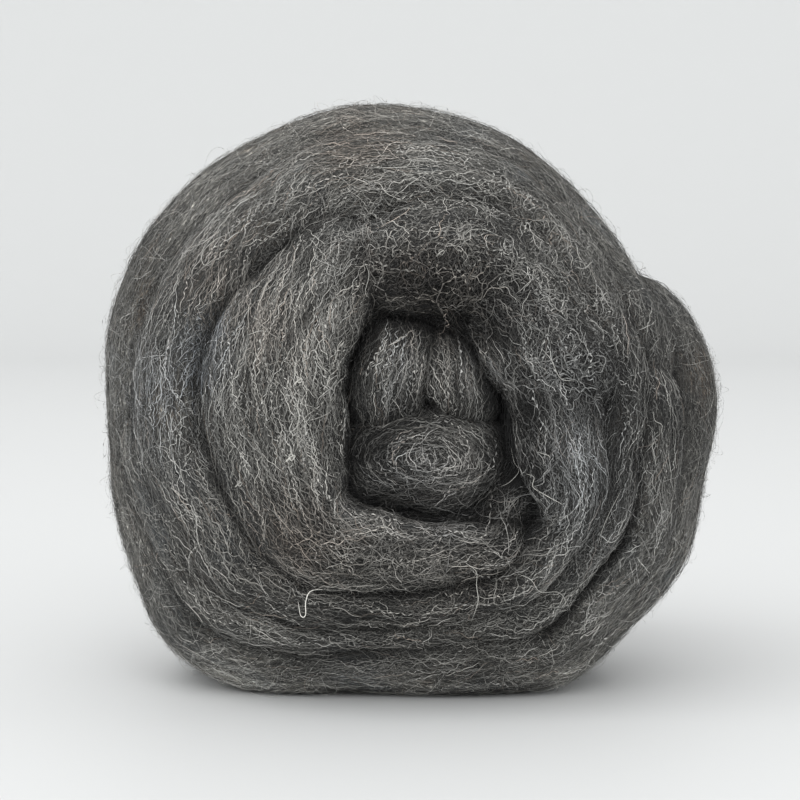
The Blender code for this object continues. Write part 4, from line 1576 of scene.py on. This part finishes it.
def eye_wall_fibres():
    """The fibres down the eye, as a mesh. Each turn has its share of them by its steep open area,
    and they are crimped, lifted and coloured as the combed ones are."""
    random = np.random.default_rng(EYE_SEED)
    turns = [front_skins[k] for k in EYE_TURNS]
    areas = [open_steep_area(turn, skin["tree"]) for turn in turns]
    whole = sum(area.sum() for area in areas)
    middles, normals, steps = [], [], []
    for turn, area in zip(turns, areas):
        count = int(EYE_FIBRES * area.sum() / whole)
        if count == 0:
            continue
        middle, normal, step = paths_on_turn(turn, area, count, random)
        middles.append(middle)
        normals.append(normal)
        steps.append(step)
    middle, normal, step = np.vstack(middles), np.vstack(normals), np.concatenate(steps)
    count = len(middle)
    raised = random.random(count) ** 2.0
    lift = EYE_FIBRE_LIFT[0] + (EYE_FIBRE_LIFT[1] - EYE_FIBRE_LIFT[0]) * raised
    middle = crimped(random, middle, normal, step, lift, random.uniform(*CRIMP_HEIGHT, count))
    width = random.uniform(*FIBRE_WIDTH, count) + RAISED_WIDTH * raised
    points = fibre_ribbons(middle, normal, width, random)
    colours = fibre_colours(random, skin, middle, raised)
    return ribbon_mesh("eye_wall_fibres", points, colours)


eye_walls = new_piece("eye_wall_fibres", eye_wall_fibres(), wool_fibre)
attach(eye_walls, "root")


# -------------------------------------------------------------------------- Loose fuzz
# Fine wool hairs that stand off the ball all over, in low arches and with free ends, and make its
# edge soft. Natural wool, thinner than the combed fibres under them.

FUZZ_BANDS = (
    # nearest angle from the eye, farthest, number of hairs
    (0.0, 62.0, 900),
    (62.0, 112.0, 5600),
    (112.0, 180.0, 900),
)
FUZZ_SEED = 31
FUZZ_SAMPLES = 18
FUZZ_LENGTH = (3.0, 11.0)
FUZZ_WIDTH = (0.03, 0.07)
FUZZ_BEND = (0.05, 0.45)   # how fast a hair's heading swings, in radians to the millimetre
FUZZ_WAVE = (3.0, 10.0)    # length of one swing
FUZZ_DRIFT = 0.2           # steady turn of its heading, to either side
FUZZ_FOOT = 0.25           # least height over the skin
FUZZ_RISE = 0.5            # mean height of its arch, over the least
FUZZ_RISE_LEAST = 0.3
FUZZ_RISE_MOST = 2.4
FREE_SHARE = 0.4           # share of the hairs with a free end
FUZZ_TONE = 0.24
FUZZ_TONE_SPREAD = 0.4     # of the tone's logarithm


def loose_fuzz():
    """Hairs that start at the skin and follow it in any direction, as a mesh. Their height over it
    is a half wave for the arches, and a power of the length run for those with a free end."""
    random = np.random.default_rng(FUZZ_SEED)
    unit = np.vstack([pick_seeds(skin, random, *band) for band in FUZZ_BANDS])
    count = len(unit)
    start = CENTRE + unit * read_smoothly(skin["height"], unit)
    step = random.uniform(*FUZZ_LENGTH, count) / (FUZZ_SAMPLES - 1)
    lean = {
        "angle": random.uniform(-0.5 * np.pi, 0.5 * np.pi, count),
        "pull": np.full(count, 0.03),
        "flip": random.random(count) < 0.5,
    }
    wander = {
        "rate": random.uniform(*FUZZ_BEND, count),
        "wave": 2.0 * np.pi / random.uniform(*FUZZ_WAVE, count),
        "phase": random.uniform(0.0, 2.0 * np.pi, count),
        "drift": random.normal(0.0, FUZZ_DRIFT, count),
    }
    units, heights, hang = follow_roving(skin, unit, lean, wander, step, FUZZ_SAMPLES)
    share = np.linspace(0.0, 1.0, FUZZ_SAMPLES)
    free = random.random(count) < FREE_SHARE
    profile = np.where(free[:, None], share ** 1.6, np.sin(np.pi * share))
    rise = random.exponential(FUZZ_RISE, count) + FUZZ_RISE_LEAST
    rise = FUZZ_FOOT + np.minimum(rise, FUZZ_RISE_MOST)[:, None] * profile
    normal = unit_length(read_smoothly(skin["normal"], units))
    middle = above_floor(CENTRE + units * heights + normal * rise[..., None])
    points = fibre_ribbons(middle, normal, random.uniform(*FUZZ_WIDTH, count), random)
    tone = FUZZ_TONE * np.exp(FUZZ_TONE_SPREAD * random.normal(0.0, 1.0, count))
    # Painted light and shade from the spots, and painted shade in the hollows.
    tone = tone[:, None] * np.exp(spot_shade_and_tone(middle)) * light_share(skin, middle)
    colours = tone[..., None] * fibre_tints(start, random)[:, None, :]
    kept = hang < CLIFF
    return ribbon_mesh("loose_fuzz", points[kept], colours[kept])


fuzz = new_piece("loose_fuzz", loose_fuzz(), wool_fibre)
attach(fuzz, "root")


# -------------------------------------------------------------------------- Pale hairs
# A few coarse, nearly white hairs, and some small tangles, that lie singly on the eye's side of
# the ball: kemp, which takes no dye and is stiffer than the rest of the wool.

HAIR_STEP = 0.35           # spacing of the points along a hair
HAIR_SIDES = 5
HAIR_LIFT = 0.55           # height over the highest wool near it
HAIR_EASE = 3              # points to either side of one that count as near it

# Each hair's tone and width, and the places that it runs through as seen by the camera: right of
# and above the middle of the ball, in its middle plane.
PALE_HAIRS = (
    # tone, width, places
    (0.85, 0.20, ((-24.9, -44.3), (-24.3, -47.4), (-23.3, -47.3), (-23.2, -44.2), (-21.8, -42.0),
                  (-16.8, -41.9))),
    (0.55, 0.14, ((10.6, -36.0), (13.0, -38.0), (13.1, -41.0), (13.4, -44.4), (12.0, -48.6))),
    (0.50, 0.13, ((21.7, -38.4), (24.7, -39.8), (26.6, -42.3), (30.4, -42.4), (32.0, -44.3),
                  (31.5, -46.2))),
    (0.45, 0.14, ((-39.4, 34.0), (-42.8, 32.4), (-45.3, 29.6), (-44.7, 27.2), (-41.7, 29.5))),
    (0.50, 0.13, ((10.4, 33.4), (12.0, 34.7), (15.0, 34.7), (17.8, 33.4))),
    (0.45, 0.13, ((27.0, 9.4), (29.0, 7.0), (30.9, 3.2), (33.8, 2.5))),
    (0.42, 0.13, ((6.0, -10.6), (8.1, -12.5), (9.8, -14.5), (9.6, -16.8))),
    (0.45, 0.12, ((-9.6, 47.9), (-2.3, 48.1), (-0.6, 49.6), (0.6, 49.4), (0.7, 47.8))),
    (0.40, 0.12, ((4.6, 46.8), (7.4, 47.4), (8.9, 46.6), (8.9, 45.1))),
    (0.40, 0.12, ((44.0, -20.4), (40.6, -27.2), (38.7, -32.8))),
    (0.55, 0.14, ((23.6, -17.2), (25.3, -17.9), (25.1, -20.0), (27.7, -21.7), (31.5, -23.8))),
    (0.40, 0.12, ((20.4, -11.5), (21.1, -14.7), (22.1, -16.6), (20.2, -18.9), (18.1, -20.0))),
    (0.45, 0.13, ((26.2, -12.6), (28.5, -13.4), (28.7, -14.3))),
    (0.40, 0.12, ((-11.1, 28.5), (-9.8, 25.3), (-10.6, 21.5), (-9.8, 20.2))),
    (0.45, 0.12, ((-35.7, 12.3), (-33.0, 13.2), (-31.5, 13.0))),
    (0.45, 0.12, ((-7.7, 34.5), (-6.2, 34.6), (-5.8, 33.4), (-4.3, 32.6))),
)

# Small tangles of pale wool: their places, sizes and tones.
TANGLES = (
    # right, up, radius, tone
    (-24.9, 2.6, 0.8, 0.55),
    (-26.6, -13.8, 0.9, 0.60),
    (-37.6, -19.4, 0.7, 0.40),
    (5.3, 29.8, 0.8, 0.40),
)
TANGLE_TURNS = 4.3
TANGLE_POINTS = 60
TANGLE_WIDTH = 0.10


def seen_places(places):
    """Points on the ball in front of places in its middle plane, as the camera sees them. The
    distance is the least of the neighbours', evened out, less the hair's lift, so the hair lies
    on top."""
    middle = np.array([CENTRE[0], 0.0, CENTRE[2]])
    targets = middle + places[:, :1] * camera_right + places[:, 1:] * camera_up
    rays = unit_length(targets - camera_place)
    hits = [skin["tree"].ray_cast(Vector(camera_place), Vector(ray)) for ray in rays]
    reach = np.array([hit[3] for hit in hits])
    for evened in (np.min, np.mean):
        padded = np.pad(reach, HAIR_EASE, mode="edge")
        reach = evened([padded[k:k + len(reach)] for k in range(2 * HAIR_EASE + 1)], axis=0)
    return camera_place + rays * (reach - HAIR_LIFT)[:, None]


def tangle_path(right, up, radius):
    """A loose knot: a circle whose radius and middle swing at their own pace."""
    turn = np.linspace(0.0, 2.0 * np.pi * TANGLE_TURNS, TANGLE_POINTS)
    swing = radius * (0.6 + 0.4 * np.sin(1.37 * turn))
    across = right + swing * np.cos(turn) + 0.3 * radius * np.sin(0.41 * turn)
    above = up + swing * np.sin(1.13 * turn)
    return np.column_stack([across, above])


def hair_tube(path, width):
    """A round profile carried along a path, drawn in to a point at both ends."""
    along = unit_length(np.gradient(path, axis=0))
    side = unit_length(np.cross(along, camera_look))
    up = np.cross(side, along)
    count = len(path)
    taper = np.sqrt(np.clip(np.sin(np.pi * (np.arange(count) + 0.2) / (count - 0.6)), 0.02, 1.0))
    turn = np.linspace(0.0, 2.0 * np.pi, HAIR_SIDES, endpoint=False)
    ring = np.cos(turn)[None, :, None] * side[:, None] + np.sin(turn)[None, :, None] * up[:, None]
    return path[:, None, :] + 0.5 * width * taper[:, None, None] * ring


def pale_hairs():
    """All pale hairs and tangles in one mesh, with the tone of each as its colour."""
    paths = []
    for tone, width, places in PALE_HAIRS:
        paths.append((tone, width, smooth_rows(np.array(places), HAIR_STEP, 3)))
    for right, up, radius, tone in TANGLES:
        paths.append((tone, TANGLE_WIDTH, tangle_path(right, up, radius)))
    tubes = [hair_tube(seen_places(path), width) for _, width, path in paths]
    vertices, faces, triangles = join_skins([{"points": tube} for tube in tubes])
    sizes = [tube.shape[0] * HAIR_SIDES + 2 for tube in tubes]
    tones = np.repeat([tone for tone, _, _ in paths], sizes)
    colours = tones[:, None] * np.array(NEUTRAL_WOOL)
    return coloured_mesh("pale_hairs", vertices, faces, triangles, colours)


hairs = new_piece("pale_hairs", pale_hairs(), wool_fibre)
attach(hairs, "root")
